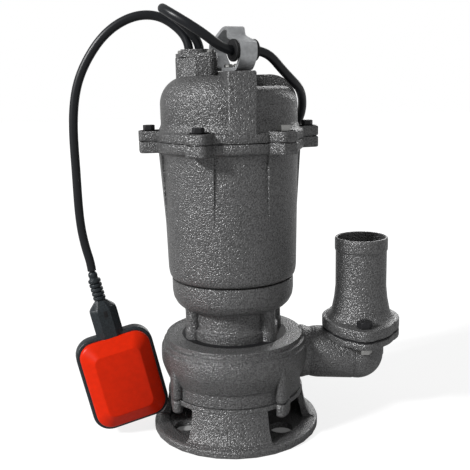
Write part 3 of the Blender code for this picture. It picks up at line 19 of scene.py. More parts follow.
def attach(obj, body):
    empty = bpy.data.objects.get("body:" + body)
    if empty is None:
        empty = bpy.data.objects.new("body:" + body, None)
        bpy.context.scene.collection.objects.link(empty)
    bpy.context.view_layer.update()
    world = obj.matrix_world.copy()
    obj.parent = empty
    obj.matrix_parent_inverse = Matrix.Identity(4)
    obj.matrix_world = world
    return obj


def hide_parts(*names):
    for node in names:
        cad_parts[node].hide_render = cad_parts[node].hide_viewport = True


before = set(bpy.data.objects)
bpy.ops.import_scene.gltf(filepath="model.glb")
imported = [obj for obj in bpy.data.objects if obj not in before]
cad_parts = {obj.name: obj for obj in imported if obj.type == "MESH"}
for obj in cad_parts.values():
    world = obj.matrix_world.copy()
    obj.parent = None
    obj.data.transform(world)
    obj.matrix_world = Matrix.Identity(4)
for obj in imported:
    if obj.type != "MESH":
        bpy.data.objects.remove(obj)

LOG = logging.getLogger("sump_pump")
MM = 0.001
SIDES = 144
SMOOTH = math.radians(32.0)
OUTLET_X, OUTLET_Y = 131.5, 8.0
OUTLET_BORE_R = 24.0
SENSOR_MM, FOCAL_PX, PHOTO_PX = 36.0, 753.0, 470.0
WHITE = (1.0, 1.0, 1.0, 1.0)
Pair = tuple[float, float]
Point = tuple[float, float, float]


# ---------------------------------------------------------------- finishes
@dataclass(frozen=True)
class Finish:
    """How a surface looks: its colour, shine and the grain of its casting or moulding.

    Args:
        slot: the name of its material.
        colour: linear red, green and blue.
        roughness: of the shader.
        metallic: of the shader.
        grain: how far the grain lightens and darkens the colour, as a share.
        grain_mm: size of the grain.
        bump_mm: height of the grain.
        sheen: the shader's specular level.
    """

    slot: str
    colour: tuple[float, float, float]
    roughness: float
    metallic: float = 0.0
    grain: float = 0.1
    grain_mm: float = 1.5
    bump_mm: float = 0.0
    sheen: float = 0.5


class Surface(Enum):
    """The finishes of the pump."""

    CAST_IRON = Finish("painted_cast_iron", (0.116, 0.116, 0.117), 0.32, 0.45, 0.45, 1.45, 1.35)
    STEEL = Finish("plated_steel", (0.42, 0.42, 0.41), 0.35, 1.0, 0.12, 1.0)
    BLACK_STEEL = Finish("blackened_steel", (0.022, 0.022, 0.024), 0.42, 0.5, 0.2, 1.0)
    GALVANIZED = Finish("galvanized_steel", (0.46, 0.47, 0.48), 0.34, 0.7, 0.1, 3.0, 0.1)
    BRONZE = Finish("cast_bronze", (0.42, 0.25, 0.1), 0.42, 1.0, 0.2, 1.5, 0.05)
    COPPER = Finish("copper_wire", (0.6, 0.25, 0.1), 0.35, 1.0, 0.2, 0.8)
    LAMINATION = Finish("stacked_laminations", (0.25, 0.26, 0.28), 0.45, 0.9, 0.2, 0.8)
    CERAMIC = Finish("seal_ceramic", (0.75, 0.74, 0.7), 0.25)
    RUBBER = Finish("black_rubber", (0.008, 0.008, 0.009), 0.6, 0.0, 0.2, 1.0, 0.0, 0.3)
    CORD = Finish("cord_jacket", (0.0055, 0.0065, 0.0085), 0.38, 0.0, 0.15, 2.0, 0.0, 0.35)
    BLACK_PLASTIC = Finish("black_plastic", (0.0135, 0.018, 0.021), 0.42, 0.0, 0.4, 1.5, 0.3, 0.35)
    PALE_PLASTIC = Finish("pale_plastic", (0.6, 0.6, 0.58), 0.5)
    FLOAT_RED = Finish("red_plastic", (0.6, 0.017, 0.0008), 0.34, 0.0, 0.05, 5.0, 0.0, 0.12)


class FinishShelf:
    """Makes each finish's material once."""

    def __init__(self) -> None:
        self._made: dict[str, bpy.types.Material] = {}

    def get(self, surface: Surface) -> bpy.types.Material:
        """Gives the material of a finish.

        Args:
            surface: which finish.

        Returns:
            The material, with its grain made from noise on Object coordinates.
        """
        finish = surface.value
        if finish.slot in self._made:
            return self._made[finish.slot]
        material = bpy.data.materials.new(finish.slot)
        material.use_nodes = True
        nodes, links = material.node_tree.nodes, material.node_tree.links
        shader = nodes["Principled BSDF"]
        shader.inputs["Base Color"].default_value = (*finish.colour, 1.0)
        shader.inputs["Roughness"].default_value = finish.roughness
        shader.inputs["Metallic"].default_value = finish.metallic
        shader.inputs["Specular IOR Level"].default_value = finish.sheen
        place = nodes.new("ShaderNodeTexCoord")
        noise = nodes.new("ShaderNodeTexNoise")
        noise.inputs["Scale"].default_value = 1.0 / (finish.grain_mm * MM)
        noise.inputs["Detail"].default_value = 1.0
        links.new(place.outputs["Object"], noise.inputs["Vector"])
        span = nodes.new("ShaderNodeMapRange")
        for name, value in (("From Min", 0.3), ("From Max", 0.7),
                            ("To Min", 1.0 - finish.grain), ("To Max", 1.0 + finish.grain)):
            span.inputs[name].default_value = value
        links.new(noise.outputs["Fac"], span.inputs["Value"])
        tint = nodes.new("ShaderNodeMixRGB")
        tint.blend_type = "MULTIPLY"
        tint.inputs["Fac"].default_value = 1.0
        tint.inputs["Color1"].default_value = (*finish.colour, 1.0)
        links.new(span.outputs["Result"], tint.inputs["Color2"])
        links.new(tint.outputs["Color"], shader.inputs["Base Color"])
        if finish.bump_mm:
            bump = nodes.new("ShaderNodeBump")
            bump.inputs["Distance"].default_value = finish.bump_mm * MM
            bump.inputs["Strength"].default_value = 1.0
            links.new(noise.outputs["Fac"], bump.inputs["Height"])
            links.new(bump.outputs["Normal"], shader.inputs["Normal"])
        self._made[finish.slot] = material
        return material


# ---------------------------------------------------------------- places and lines
def at_angle(radius: float, angle: float) -> Pair:
    """The point at this radius and angle about the shaft."""
    way = math.radians(angle)
    return radius * math.sin(way), -radius * math.cos(way)


def spaced(first: float, count: int) -> list[float]:
    """Evenly spaced angles, starting at the first."""
    return [first + 360.0 * step / count for step in range(count)]


def move(x: float = 0.0, y: float = 0.0, z: float = 0.0) -> Matrix:
    """A shift, in millimetres."""
    return Matrix.Translation((x, y, z))


def turn(axis: str, angle: float) -> Matrix:
    """A turn about one axis, in degrees."""
    return Matrix.Rotation(math.radians(angle), 4, axis)


def rounded(points: Sequence[Pair], radius: float, steps: int = 5) -> list[Pair]:
    """Rounds the corners of an open line.

    Each corner is replaced by the parabola from a point before it to a point after it, both at
    most the radius, and at most 0.45 of the side, away from it.
    """
    line = [np.array(point, float) for point in points]
    made = [line[0]]
    for before, here, after in zip(line, line[1:], line[2:]):
        back, ahead = before - here, after - here
        start = here + back * min(0.45, radius / np.linalg.norm(back))
        end = here + ahead * min(0.45, radius / np.linalg.norm(ahead))
        for share in np.linspace(0.0, 1.0, steps):
            rest = 1 - share
            made.append(rest ** 2 * start + 2 * share * rest * here + share ** 2 * end)
    made.append(line[-1])
    return [tuple(point) for point in made]


def hull(points: Iterable[Pair]) -> list[Pair]:
    """The convex outline round some points, anticlockwise."""
    ordered = sorted(set(points))
    made: list[Pair] = []
    for side in (ordered, ordered[::-1]):
        line: list[Pair] = []
        for x, y in side:
            while len(line) > 1 and ((line[-1][0] - line[-2][0]) * (y - line[-2][1])
                                     - (line[-1][1] - line[-2][1]) * (x - line[-2][0])) <= 0:
                line.pop()
            line.append((x, y))
        made += line[:-1]
    return made


def circle(x: float, y: float, radius: float, sides: int = 48) -> list[Pair]:
    """Points round a circle, anticlockwise."""
    turns = np.linspace(0.0, 2 * math.pi, sides, endpoint=False)
    return list(zip((x + radius * np.cos(turns)).tolist(), (y + radius * np.sin(turns)).tolist()))


def round_box(width: float, height: float, radius: float, middle: float = 0.0,
              steps: int = 10) -> np.ndarray:
    """A rectangle with round corners, anticlockwise, as rows of two numbers."""
    made = []
    for corner, (x, y) in enumerate(((1, 1), (-1, 1), (-1, -1), (1, -1))):
        turns = np.radians(np.linspace(90.0 * corner, 90.0 * corner + 90.0, steps))
        made.append(np.stack([x * (width / 2 - radius) + radius * np.cos(turns),
                              middle + y * (height / 2 - radius) + radius * np.sin(turns)], 1))
    return np.concatenate(made)


def spline(points: Sequence[Point], step: float = 2.0) -> np.ndarray:
    """A natural cubic curve through the points, against the length along their chords."""
    knots = np.array(points, float)
    along = np.concatenate([[0.0], np.cumsum(np.linalg.norm(np.diff(knots, axis=0), axis=1))])
    gaps, count = np.diff(along), len(knots)
    system, right = np.eye(count), np.zeros((count, 3))
    for i in range(1, count - 1):
        system[i, i - 1:i + 2] = gaps[i - 1], 2 * (gaps[i - 1] + gaps[i]), gaps[i]
        after, before = (knots[i + 1] - knots[i]) / gaps[i], (knots[i] - knots[i - 1]) / gaps[i - 1]
        right[i] = 6 * (after - before)
    bend = np.linalg.solve(system, right)
    places = np.linspace(0.0, along[-1], max(2, round(along[-1] / step)))
    i = np.clip(np.searchsorted(along, places, side="right") - 1, 0, count - 2)
    gap = gaps[i][:, None]
    past, left = (places - along[i])[:, None], (along[i + 1] - places)[:, None]
    return ((bend[i] * left ** 3 + bend[i + 1] * past ** 3) / (6 * gap)
            + (knots[i] / gap - bend[i] * gap / 6) * left
            + (knots[i + 1] / gap - bend[i + 1] * gap / 6) * past)


# ---------------------------------------------------------------- surfaces
def solid(name: str, points: np.ndarray, faces: list[list[int]]) -> bpy.types.Object:
    """Makes an object from points in millimetres, with its faces turned outwards."""
    mesh = bpy.data.meshes.new(name)
    mesh.from_pydata((points * MM).tolist(), [], faces)
    work = bmesh.new()
    work.from_mesh(mesh)
    bmesh.ops.recalc_face_normals(work, faces=work.faces)
    work.to_mesh(mesh)
    work.free()
    mesh.shade_smooth()
    mesh.set_sharp_from_angle(angle=SMOOTH)
    piece = bpy.data.objects.new(name, mesh)
    bpy.context.scene.collection.objects.link(piece)
    return piece


def skin(name: str, rings: np.ndarray, looped: bool = False, caps: bool = True,
         at: Matrix | None = None) -> bpy.types.Object:
    """Joins rings of points into one skin.

    Args:
        name: of the piece.
        rings: rings x points x 3, in millimetres.  Each ring is closed, and quads join it to
            the next.
        looped: whether the last ring joins the first.
        caps: whether the first and last ring are closed by a face.
        at: where the rings' own frame stands.

    Returns:
        The piece.
    """
    count, sides = rings.shape[:2]
    flat = rings.reshape(-1, 3)
    if at is not None:
        whole = np.array(at)
        flat = flat @ whole[:3, :3].T + whole[:3, 3]
    index = np.arange(count * sides).reshape(count, sides)
    here = index if looped else index[:-1]
    there = np.roll(index, -1, 0) if looped else index[1:]
    quads = np.stack([here, np.roll(here, -1, 1), np.roll(there, -1, 1), there], -1)
    faces = quads.reshape(-1, 4).tolist()
    if caps and not looped:
        faces += [index[0][::-1].tolist(), index[-1].tolist()]
    return solid(name, flat, faces)


def turned(name: str, profile: Sequence[Pair], at: Matrix | None = None, looped: bool = False,
           sides: int = SIDES, caps: bool = True) -> bpy.types.Object:
    """A lathe shape: each (radius, height) of the profile is carried round the frame's Z axis."""
    line = np.array([point for point in profile if point[0] > 0.001])
    turns = np.linspace(0.0, 2 * math.pi, sides, endpoint=False)
    rings = np.stack([line[:, :1] * np.cos(turns), line[:, :1] * np.sin(turns),
                      np.repeat(line[:, 1:], sides, 1)], -1)
    return skin(name, rings, looped, caps, at)


def sector(name: str, profile: Sequence[Pair], first: float, last: float) -> bpy.types.Object:
    """A closed profile of (radius, height) carried round the shaft from one angle to another."""
    turns = np.radians(np.linspace(first, last, 40))[:, None]
    radius, height = np.array(profile).T
    rings = np.stack([radius * np.sin(turns), -radius * np.cos(turns), height + 0.0 * turns], -1)
    return skin(name, rings)


def swept(name: str, path: np.ndarray, radius: float | np.ndarray, sides: int = 40,
          caps: bool = True) -> bpy.types.Object:
    """A round tube along a path; its rings turn as little as they can from one to the next."""
    ahead = np.gradient(path, axis=0)
    ahead /= np.linalg.norm(ahead, axis=1)[:, None]
    across = np.cross(ahead[0], (0.3, 0.2, 0.9))
    normals = []
    for direction in ahead:
        across = across - direction * (across @ direction)
        across = across / np.linalg.norm(across)
        normals.append(across)
    normal = np.array(normals)
    other = np.cross(ahead, normal)
    turns = np.linspace(0.0, 2 * math.pi, sides, endpoint=False)[None, :, None]
    reach = np.broadcast_to(np.asarray(radius, float), (len(path),))[:, None, None]
    spokes = np.cos(turns) * normal[:, None] + np.sin(turns) * other[:, None]
    return skin(name, path[:, None] + reach * spokes, caps=caps)


def slab(name: str, outline: Sequence[Pair], low: float, high: float, edge: float = 1.0,
         at: Matrix | None = None, bore: np.ndarray | None = None) -> bpy.types.Object:
    """A plate with its long edges rounded.

    Args:
        name: of the piece.
        outline: of the plate, anticlockwise.
        low: height of its lower face.
        high: height of its upper face.
        edge: radius of its edges.
        at: where its frame stands.
        bore: outline of a hole through it, with as many points as the plate's outline.

    Returns:
        The piece.
    """
    plan = np.array(outline, float)
    side = np.roll(plan, -1, 0) - np.roll(plan, 1, 0)
    outward = np.stack([side[:, 1], -side[:, 0]], 1) / np.linalg.norm(side, axis=1)[:, None]
    turns = np.linspace(0.0, math.pi / 2, 4)
    levels = [(low + edge * (1 - math.sin(t)), edge * (1 - math.cos(t))) for t in turns[::-1]]
    levels += [(high - edge * (1 - math.sin(t)), edge * (1 - math.cos(t))) for t in turns]
    rings = [np.column_stack([plan - outward * inset, np.full(len(plan), height)])
             for height, inset in levels]
    if bore is not None:
        rings += [np.column_stack([bore, np.full(len(bore), height)]) for height in (high, low)]
    return skin(name, np.array(rings), looped=bore is not None, at=at)


def opened(piece: bpy.types.Object, inside: Callable[[Vector], bool]) -> bpy.types.Object:
    """Takes away the faces of a skin that would stand in a passage."""
    work = bmesh.new()
    work.from_mesh(piece.data)
    doomed = [face for face in work.faces if inside(face.calc_center_median() / MM)]
    bmesh.ops.delete(work, geom=doomed, context="FACES")
    work.to_mesh(piece.data)
    work.free()
    return piece


def cad_copy(node: str) -> bpy.types.Object:
    """A merged and smoothed copy of a CAD node's mesh."""
    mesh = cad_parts[node].data.copy()
    work = bmesh.new()
    work.from_mesh(mesh)
    bmesh.ops.remove_doubles(work, verts=work.verts, dist=0.002 * MM)
    bmesh.ops.dissolve_limit(work, angle_limit=math.radians(1.0), verts=work.verts,
                             edges=work.edges)
    work.to_mesh(mesh)
    work.free()
    mesh.shade_smooth()
    mesh.set_sharp_from_angle(angle=SMOOTH)
    piece = bpy.data.objects.new(f"{node}_shape", mesh)
    bpy.context.scene.collection.objects.link(piece)
    return piece


def fused(name: str, pieces: Sequence[bpy.types.Object]) -> bpy.types.Object:
    """Puts several shapes of one casting into one piece."""
    work = bmesh.new()
    for piece in pieces:
        work.from_mesh(piece.data)
        bpy.data.objects.remove(piece)
    mesh = bpy.data.meshes.new(name)
    work.to_mesh(mesh)
    work.free()
    mesh.materials.clear()
    mesh.shade_smooth()
    mesh.set_sharp_from_angle(angle=SMOOTH)
    made = bpy.data.objects.new(name, mesh)
    bpy.context.scene.collection.objects.link(made)
    return made


# ---------------------------------------------------------------- assemblies
class Assembly:
    """Pieces that are built together and ride on one body of the frame."""

    body = "pump"
    plain: dict[str, Surface] = {}

    def __init__(self, shelf: FinishShelf) -> None:
        self.shelf = shelf

    def put(self, piece: bpy.types.Object, surface: Surface, *nodes: str,
            edge: float = 0.0) -> bpy.types.Object:
        """Gives a piece its finish, slot and body.

        Args:
            piece: in its place at rest.
            surface: its finish.
            nodes: the CAD nodes that it stands for.
            edge: width in millimetres by which its sharp edges are rounded.

        Returns:
            The piece.
        """
        piece.data.materials.clear()
        piece.data.materials.append(self.shelf.get(surface))
        if edge:
            bevel = piece.modifiers.new("edges", "BEVEL")
            bevel.limit_method = "ANGLE"
            bevel.angle_limit = math.radians(40.0)
            bevel.width = edge * MM
            bevel.segments = 2
            bevel.use_clamp_overlap = True
        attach(piece, self.body)
        if nodes:
            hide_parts(*nodes)
        LOG.info("%s: %s on %s", type(self).__name__, piece.name, self.body)
        return piece

    def build(self) -> None:
        """Builds the shapes that are more than a copy of a CAD node."""

    def dress(self) -> None:
        """Makes the assembly: its own shapes, then smoothed copies of its plain nodes."""
        self.build()
        for node, surface in self.plain.items():
            self.put(cad_copy(node), surface, node, edge=0.35)


@dataclass
class FootSizes:
    """Sizes of the foot and the volute."""

    rim_r: float = 85.05
    band_r: float = 67.6
    top_r: float = 68.5
    top_z: float = 99.05
    boss_r: float = 6.9
    boss_pitch: float = 62.5
    boss_first: float = -70.5
    window_first: float = -65.5
    window_span: float = 56.0


class WetEnd(Assembly):
    """The foot with its windows, the volute with its outlet elbow, and the oil chamber."""

    plain = {**{f"base_screw_{i}": Surface.CAST_IRON for i in (1, 2, 3)},
             "oil_plug": Surface.STEEL, "seal_fixed": Surface.CERAMIC}

    def __init__(self, shelf: FinishShelf, sizes: FootSizes = FootSizes()) -> None:
        super().__init__(shelf)
        self.sizes = sizes

    def build(self) -> None:
        self.put(self.foot(), Surface.CAST_IRON, "inlet_base", edge=0.4)
        self.put(self.volute(), Surface.CAST_IRON, "volute_casing", edge=0.4)
        self.put(self.chamber(), Surface.CAST_IRON, "bearing_housing", edge=0.4)
        # Painted shade: a thin black ring laid in the recess round the neck, darkening it where
        # shade falls.
        shade_ring = rounded([(44.9, 98.6), (54.2, 98.6), (54.2, 97.3), (44.9, 97.3)], 0.3)
        self.put(turned("neck_painted_shade_ring", shade_ring, looped=True), Surface.RUBBER)

    def foot(self) -> bpy.types.Object:
        """The round flange, three flared walls between the windows, the deck and its bosses."""
        s = self.sizes
        rim = [(77.2, 7.6), (s.rim_r - 2.4, 7.6), (s.rim_r - 0.7, 6.9), (s.rim_r, 5.2),
               (s.rim_r, 0.9), (s.rim_r - 0.9, 0.0), (77.2, 0.0)]
        deck = rounded([(63.0, 37.6), (69.7, 37.6), (69.2, 41.9), (63.0, 41.9)], 0.8)
        flare = rounded([(66.0, 40.0), (69.2, 40.0), (70.4, 30.0), (73.0, 17.5), (76.6, 9.6),
                         (80.5, 7.5), (80.5, 6.0), (70.5, 6.0), (66.0, 30.0)], 6.0)
        shapes = [cad_copy("inlet_base"), turned("rim", rim, looped=True),
                  turned("deck", deck, looped=True)]
        for middle in spaced(s.window_first + 60.0, 3):
            half = 60.0 - s.window_span / 2
            shapes.append(sector("wall", flare, middle - half + 0.1, middle + half - 0.1))
        shapes += [slab("boss", plan, 28.8, 41.9, 2.4) for plan in self.boss_plans()]
        return fused("inlet_base_cast", shapes)

    def volute(self) -> bpy.types.Object:
        """The volute's turned outside, its bosses, and the outlet's pipe, corner, riser and flange.

        The pipe's radius grows by a bell curve where it leaves the volute, and by the root of the
        length past the crease beyond it.
        """
        s = self.sizes
        outside = rounded([
            (54.5, s.top_z), (s.top_r + 1.0, s.top_z), (69.6, 94.4), (72.3, 93.7), (72.4, 89.4),
            (74.3, 88.4)], 0.5, 4)
        outside += rounded([
            (74.6, 87.6), (75.2, 81.0), (74.9, 73.0), (71.9, 64.0), (69.4, 57.8)], 3.0)
        outside += rounded([
            (69.2, 57.4), (s.band_r + 0.3, 56.0), (s.band_r, 54.4), (s.band_r, 42.4),
            (60.0, 42.4)], 0.5, 4)
        pipe_bore, riser_bore = 20.5, 21.0

        def in_pipe(place: Vector) -> bool:
            """Whether a place stands in the passage out of the volute."""
            return place.x > 40 and math.hypot(place.y - OUTLET_Y, place.z - 71.5) < pipe_bore

        def in_elbow(place: Vector) -> bool:
            """Whether a place stands in the elbow's level or rising passage."""
            level = place.x < 126 and math.hypot(place.y - OUTLET_Y, place.z - 70.0) < pipe_bore
            rising = math.hypot(place.x - OUTLET_X, place.y - OUTLET_Y) < riser_bore
            return level or (place.z > 70 and rising)

        along = np.linspace(0.0, 1.0, 60)
        path = np.stack([52.0 + 70.0 * along, OUTLET_Y + 0.0 * along, 73.5 - 3.3 * along], 1)
        swell = np.exp(-((path[:, 0] - 69.5) / 5.0) ** 2)
        reach = 25.3 + 2.0 * swell + 1.5 * np.clip((path[:, 0] - 78.5) / 8.0, 0.0, 1.0) ** 0.5
        ball = [(26.9 * math.cos(t), 26.9 * math.sin(t)) for t in np.linspace(-1.565, 1.565, 40)]
        riser = rounded([(24.1, 70.0), (24.1, 86.0), (27.0, 91.5)], 5.0)
        corner = turned("corner", ball, move(128.0, OUTLET_Y, 70.0), caps=False, sides=96)
        shapes = [cad_copy("volute_casing"),
                  opened(turned("outside", outside, caps=False), in_pipe),
                  opened(swept("pipe", path, reach, 72, caps=False), in_elbow),
                  opened(corner, in_elbow),
                  turned("riser", riser, move(OUTLET_X, OUTLET_Y), caps=False, sides=96),
                  outlet_flange("elbow_flange", 91.0, 97.5, 20.6)]
        shapes += [slab("boss", plan, 42.4, 79.5, 3.4) for plan in self.boss_plans()]
        return fused("volute_cast", shapes)

    def boss_plans(self) -> list[list[Pair]]:
        """The screw bosses in plan: the two front ones drawn out to the front, the last back."""
        s = self.sizes
        plans = []
        drawn = ((1.4, -19.0), (-3.0, -14.0), (1.5, 9.5))
        for angle, (across, ahead) in zip(spaced(s.boss_first, 3), drawn):
            x, y = at_angle(s.boss_pitch, angle)
            nose = circle(x + across, y + ahead, s.boss_r - 1.5)
            plans.append(hull(circle(x, y, s.boss_r) + nose))
        return plans

    def chamber(self) -> bpy.types.Object:
        """The neck with its ring and five posts, under the round lower stage."""
        ring = rounded([(40.0, 97.0), (44.6, 97.0), (44.6, 108.6), (43.4, 109.4), (41.6, 110.4),
                        (41.6, 132.5), (49.0, 132.5), (50.6, 130.2), (53.6, 131.2), (57.2, 134.8),
                        (60.1, 140.5), (61.06, 147.0), (61.06, 158.9), (54.0, 158.9)], 1.2)
        shapes = [cad_copy("bearing_housing"), turned("ring", ring, caps=False)]
        for angle in (-68.0, 50.0, 110.0, 170.0, 230.0):
            shapes.append(turned("post", rounded([
                (8.5, 97.0), (8.5, 106.6), (7.7, 108.4), (7.7, 128.0), (9.5, 134.0)], 1.5),
                move(*at_angle(43.5, angle)), caps=False, sides=48))
        return fused("oil_chamber_cast", shapes)


def outlet_places() -> list[Pair]:
    """The two bolt axes of the outlet flange."""
    pitch = 41.0
    return [(OUTLET_X + x, OUTLET_Y + y)
            for x, y in (at_angle(pitch, -4.0), at_angle(pitch, 176.0))]


def outlet_flange(name: str, low: float, high: float, bore: float, less: float = 0.0,
                  edge: float = 1.3) -> bpy.types.Object:
    """One oval two-bolt flange plate with its bore.

    Args:
        name: of the piece.
        low: height of its lower face.
        high: height of its upper face.
        bore: radius of its bore.
        less: how much smaller it is all round than the castings' flange.
        edge: radius of its edges.

    Returns:
        The piece.
    """
    plate_r, ear_r = 39.55 - less, 14.05 - less
    points = circle(OUTLET_X, OUTLET_Y, plate_r, 120)
    for x, y in outlet_places():
        points += circle(x, y, ear_r, 72)
    outline = np.array(hull(points)) - (OUTLET_X, OUTLET_Y)
    turns = np.arctan2(outline[:, 1], outline[:, 0])
    order = np.argsort(turns)
    even = np.linspace(-math.pi, math.pi, 180, endpoint=False)
    reach = np.interp(even, turns[order], np.hypot(*outline[order].T), period=2 * math.pi)
    way = np.stack([np.cos(even), np.sin(even)], 1)
    at = move(OUTLET_X, OUTLET_Y)
    return slab(name, way * reach[:, None], low, high, edge, at, bore=way * bore)


class Discharge(Assembly):
    """The gasket, the hose spigot with its oval flange, and their bolts."""

    plain = {"outlet_bolt_1": Surface.BLACK_STEEL, "outlet_bolt_2": Surface.BLACK_STEEL,
             "outlet_nut_1": Surface.STEEL, "outlet_nut_2": Surface.STEEL}

    def build(self) -> None:
        tail = [(OUTLET_BORE_R, 98.0), (OUTLET_BORE_R, 192.6), (24.8, 193.4)]
        tail += rounded([
            (25.9, 193.4), (26.75, 192.5), (26.75, 180.8), (25.85, 179.6), (25.85, 143.0),
            (27.2, 130.0), (30.0, 116.0), (33.2, 111.5), (36.5, 109.6), (36.5, 106.0)], 1.6)
        spigot = [turned("tail", tail + [(26.0, 99.5)], move(OUTLET_X, OUTLET_Y), looped=True),
                  outlet_flange("spigot_flange", 99.35, 110.2, OUTLET_BORE_R)]
        self.put(fused("hose_spigot_cast", spigot), Surface.CAST_IRON, "hose_spigot")
        gasket = outlet_flange("outlet_gasket_sheet", 97.8, 99.0, OUTLET_BORE_R, 0.25, 0.2)
        self.put(gasket, Surface.RUBBER, "outlet_gasket")


@dataclass
class MotorSizes:
    """Sizes of the motor casing and its cover."""

    ring_r: float = 72.55
    joint_low: float = 296.35
    joint_high: float = 296.75
    lug_first: float = -80.5
    lug_pitch: float = 78.0
    lug_corner: float = 4.7
    lug_root: float = 61.0
    tower_x: float = -29.5
    tower_y: float = -14.5
    ear_r: float = 6.35
    ear_pitch: float = 17.0


class Motor(Assembly):
    """The barrel with its lugs, the domed cover, and all that is inside them."""

    plain = {"stator_core": Surface.LAMINATION, "winding_upper": Surface.COPPER,
             "winding_lower": Surface.COPPER, "lower_bearing": Surface.STEEL,
             "upper_bearing": Surface.STEEL, "bearing_bracket": Surface.CAST_IRON,
             "capacitor": Surface.PALE_PLASTIC, "capacitor_clip": Surface.STEEL,
             **{f"cover_bolt_{i}": Surface.BLACK_STEEL for i in (1, 2, 4, 5, 6)},
             "cover_bolt_3": Surface.STEEL}

    def __init__(self, shelf: FinishShelf, sizes: MotorSizes = MotorSizes()) -> None:
        super().__init__(shelf)
        self.sizes = sizes
        self.lugs = spaced(sizes.lug_first, 6)

    def build(self) -> None:
        self.put(self.barrel(), Surface.CAST_IRON, "motor_casing", edge=0.4)
        self.put(self.cover(), Surface.CAST_IRON, "top_cover", edge=0.6)

    def lug_plan(self, angle: float) -> list[Pair]:
        """A bolt lug in plan: round at the bolt and wider at its root."""
        s = self.sizes
        x, y = at_angle(s.lug_pitch, angle)
        lean = math.radians(angle)
        corners = []
        for across, out in ((-5.6, 5.2), (5.6, 5.2), (-5.6, -4.0), (5.6, -4.0)):
            corners += circle(x + across * math.cos(lean) + out * math.sin(lean),
                              y + across * math.sin(lean) - out * math.cos(lean), s.lug_corner, 32)
        return hull(corners + [at_angle(s.lug_root, angle + side) for side in (-12.0, 12.0)])

    def barrel(self) -> bpy.types.Object:
        """The slightly tapered barrel, its bolting ring, and lugs whose ribs fade into it."""
        s = self.sizes
        wall = rounded([
            (58.3, s.joint_low), (s.ring_r, s.joint_low), (s.ring_r, 287.0), (67.6, 284.6),
            (66.4, 279.5), (64.06, 169.0), (62.7, 162.0), (58.5, 159.35), (20.0, 159.35)], 3.0)
        wall += [(20.0, 164.8), (54.3, 164.8), (54.3, 282.0), (58.3, 282.0)]
        shapes = [turned("wall", wall, looped=True)]
        for angle in self.lugs:
            shapes.append(slab("lug", self.lug_plan(angle), 285.5, s.joint_low, 1.5))
            shapes.append(self.rib(angle))
        return fused("motor_casing_cast", shapes)

    def rib(self, angle: float) -> bpy.types.Object:
        """The flat-faced rib under a lug.

        From its foot to the lug it widens, and its face leans out of the barrel, in proportion to
        its height.
        """
        root, low, tall = self.sizes.lug_root, 206.0, 82.0
        rings = []
        for share in np.linspace(0.0, 1.0, 12):
            half, reach = 6.6 + 2.0 * share, 64.5 + 5.1 * share
            plan = [at_angle(reach, angle + side) for side in np.linspace(-half, half, 7)]
            plan += [at_angle(root, angle + half + 0.8), at_angle(root, angle - half - 0.8)]
            rings.append(np.column_stack([plan, np.full(len(plan), low + tall * share)]))
        return skin("rib", np.array(rings))

    def cover(self) -> bpy.types.Object:
        """The dome with its lowered front right quarter, its ring, lugs, pier and gland tower."""
        s = self.sizes
        high = [(66.36, 300.0), (66.36, 330.0)]
        high += [(39.86 + 26.5 * math.cos(t), 330.0 + 26.55 * math.sin(t))
                 for t in np.linspace(0.05, math.pi / 2, 22)] + [(20.0, 356.55), (0.4, 356.55)]
        low = [(66.1, 320.0), (66.1, 330.0)]
        low += [(50.1 + 16.0 * math.cos(t), 330.0 + 16.05 * math.sin(t))
                for t in np.linspace(0.05, math.pi / 2, 18)] + [(20.0, 346.05), (0.4, 346.05)]
        ring = rounded([(60.0, s.joint_high), (s.ring_r, s.joint_high), (s.ring_r, 304.5),
                        (68.8, 306.0), (66.4, 311.0), (66.3, 318.0)], 1.8)
        shapes = [cad_copy("top_cover"), stepped(turned("dome", high), 8.05, 2.95, 328.0),
                  turned("step_dome", low), turned("ring", ring, caps=False)]
        for angle in self.lugs:
            shapes.append(slab("lug", self.lug_plan(angle), s.joint_high, 306.5, 1.6))
        ear = rounded([(2.6, 373.55), (s.ear_r, 373.55), (s.ear_r, 352.5), (3.0, 349.0),
                       (0.5, 349.0)], 1.5)
        lean = math.radians(-35.0)
        for side in (-1.0, 1.0):
            place = (s.tower_x + side * s.ear_pitch * math.cos(lean),
                     s.tower_y + side * s.ear_pitch * math.sin(lean))
            shapes.append(turned("ear", ear, move(*place), caps=False, sides=48))
        web = hull(circle(*place, s.ear_r) + [(s.tower_x, -30.9), (-13.1, s.tower_y)])
        shapes.append(slab("web", web, 350.0, 373.5, 0.6))
        return fused("top_cover_cast", shapes)


def stepped(dome: bpy.types.Object, x: float, y: float, floor: float) -> bpy.types.Object:
    """Takes the quarter beyond x and in front of y off a dome, and turns its cut edge down.

    Args:
        dome: the whole dome.
        x: the first cut's place.
        y: the second cut's place.
        floor: height above which the quarter goes.

    Returns:
        The dome with its step.
    """
    lip, skirt = 2.1, 11.5
    work = bmesh.new()
    work.from_mesh(dome.data)
    for place, normal in (((x * MM, 0, 0), (1, 0, 0)), ((0, y * MM, 0), (0, 1, 0))):
        bmesh.ops.bisect_plane(work, geom=work.verts[:] + work.edges[:] + work.faces[:], dist=1e-7,
                               plane_co=place, plane_no=normal)
    doomed = []
    for face in work.faces:
        middle = face.calc_center_median() / MM
        if middle.x > x and middle.y < y and middle.z > floor:
            doomed.append(face)
    bmesh.ops.delete(work, geom=doomed, context="FACES")
    rim = [edge for edge in work.edges if edge.is_boundary and all(
        (abs(v.co.x / MM - x) < 0.01 or abs(v.co.y / MM - y) < 0.01) and v.co.z > (floor + lip) * MM
        for v in edge.verts)]
    made = bmesh.ops.extrude_edge_only(work, edges=rim)["geom"]
    for v in made:
        if isinstance(v, bmesh.types.BMVert):
            v.co.z -= skirt * MM
    bmesh.ops.recalc_face_normals(work, faces=work.faces)
    work.to_mesh(dome.data)
    work.free()
    return dome


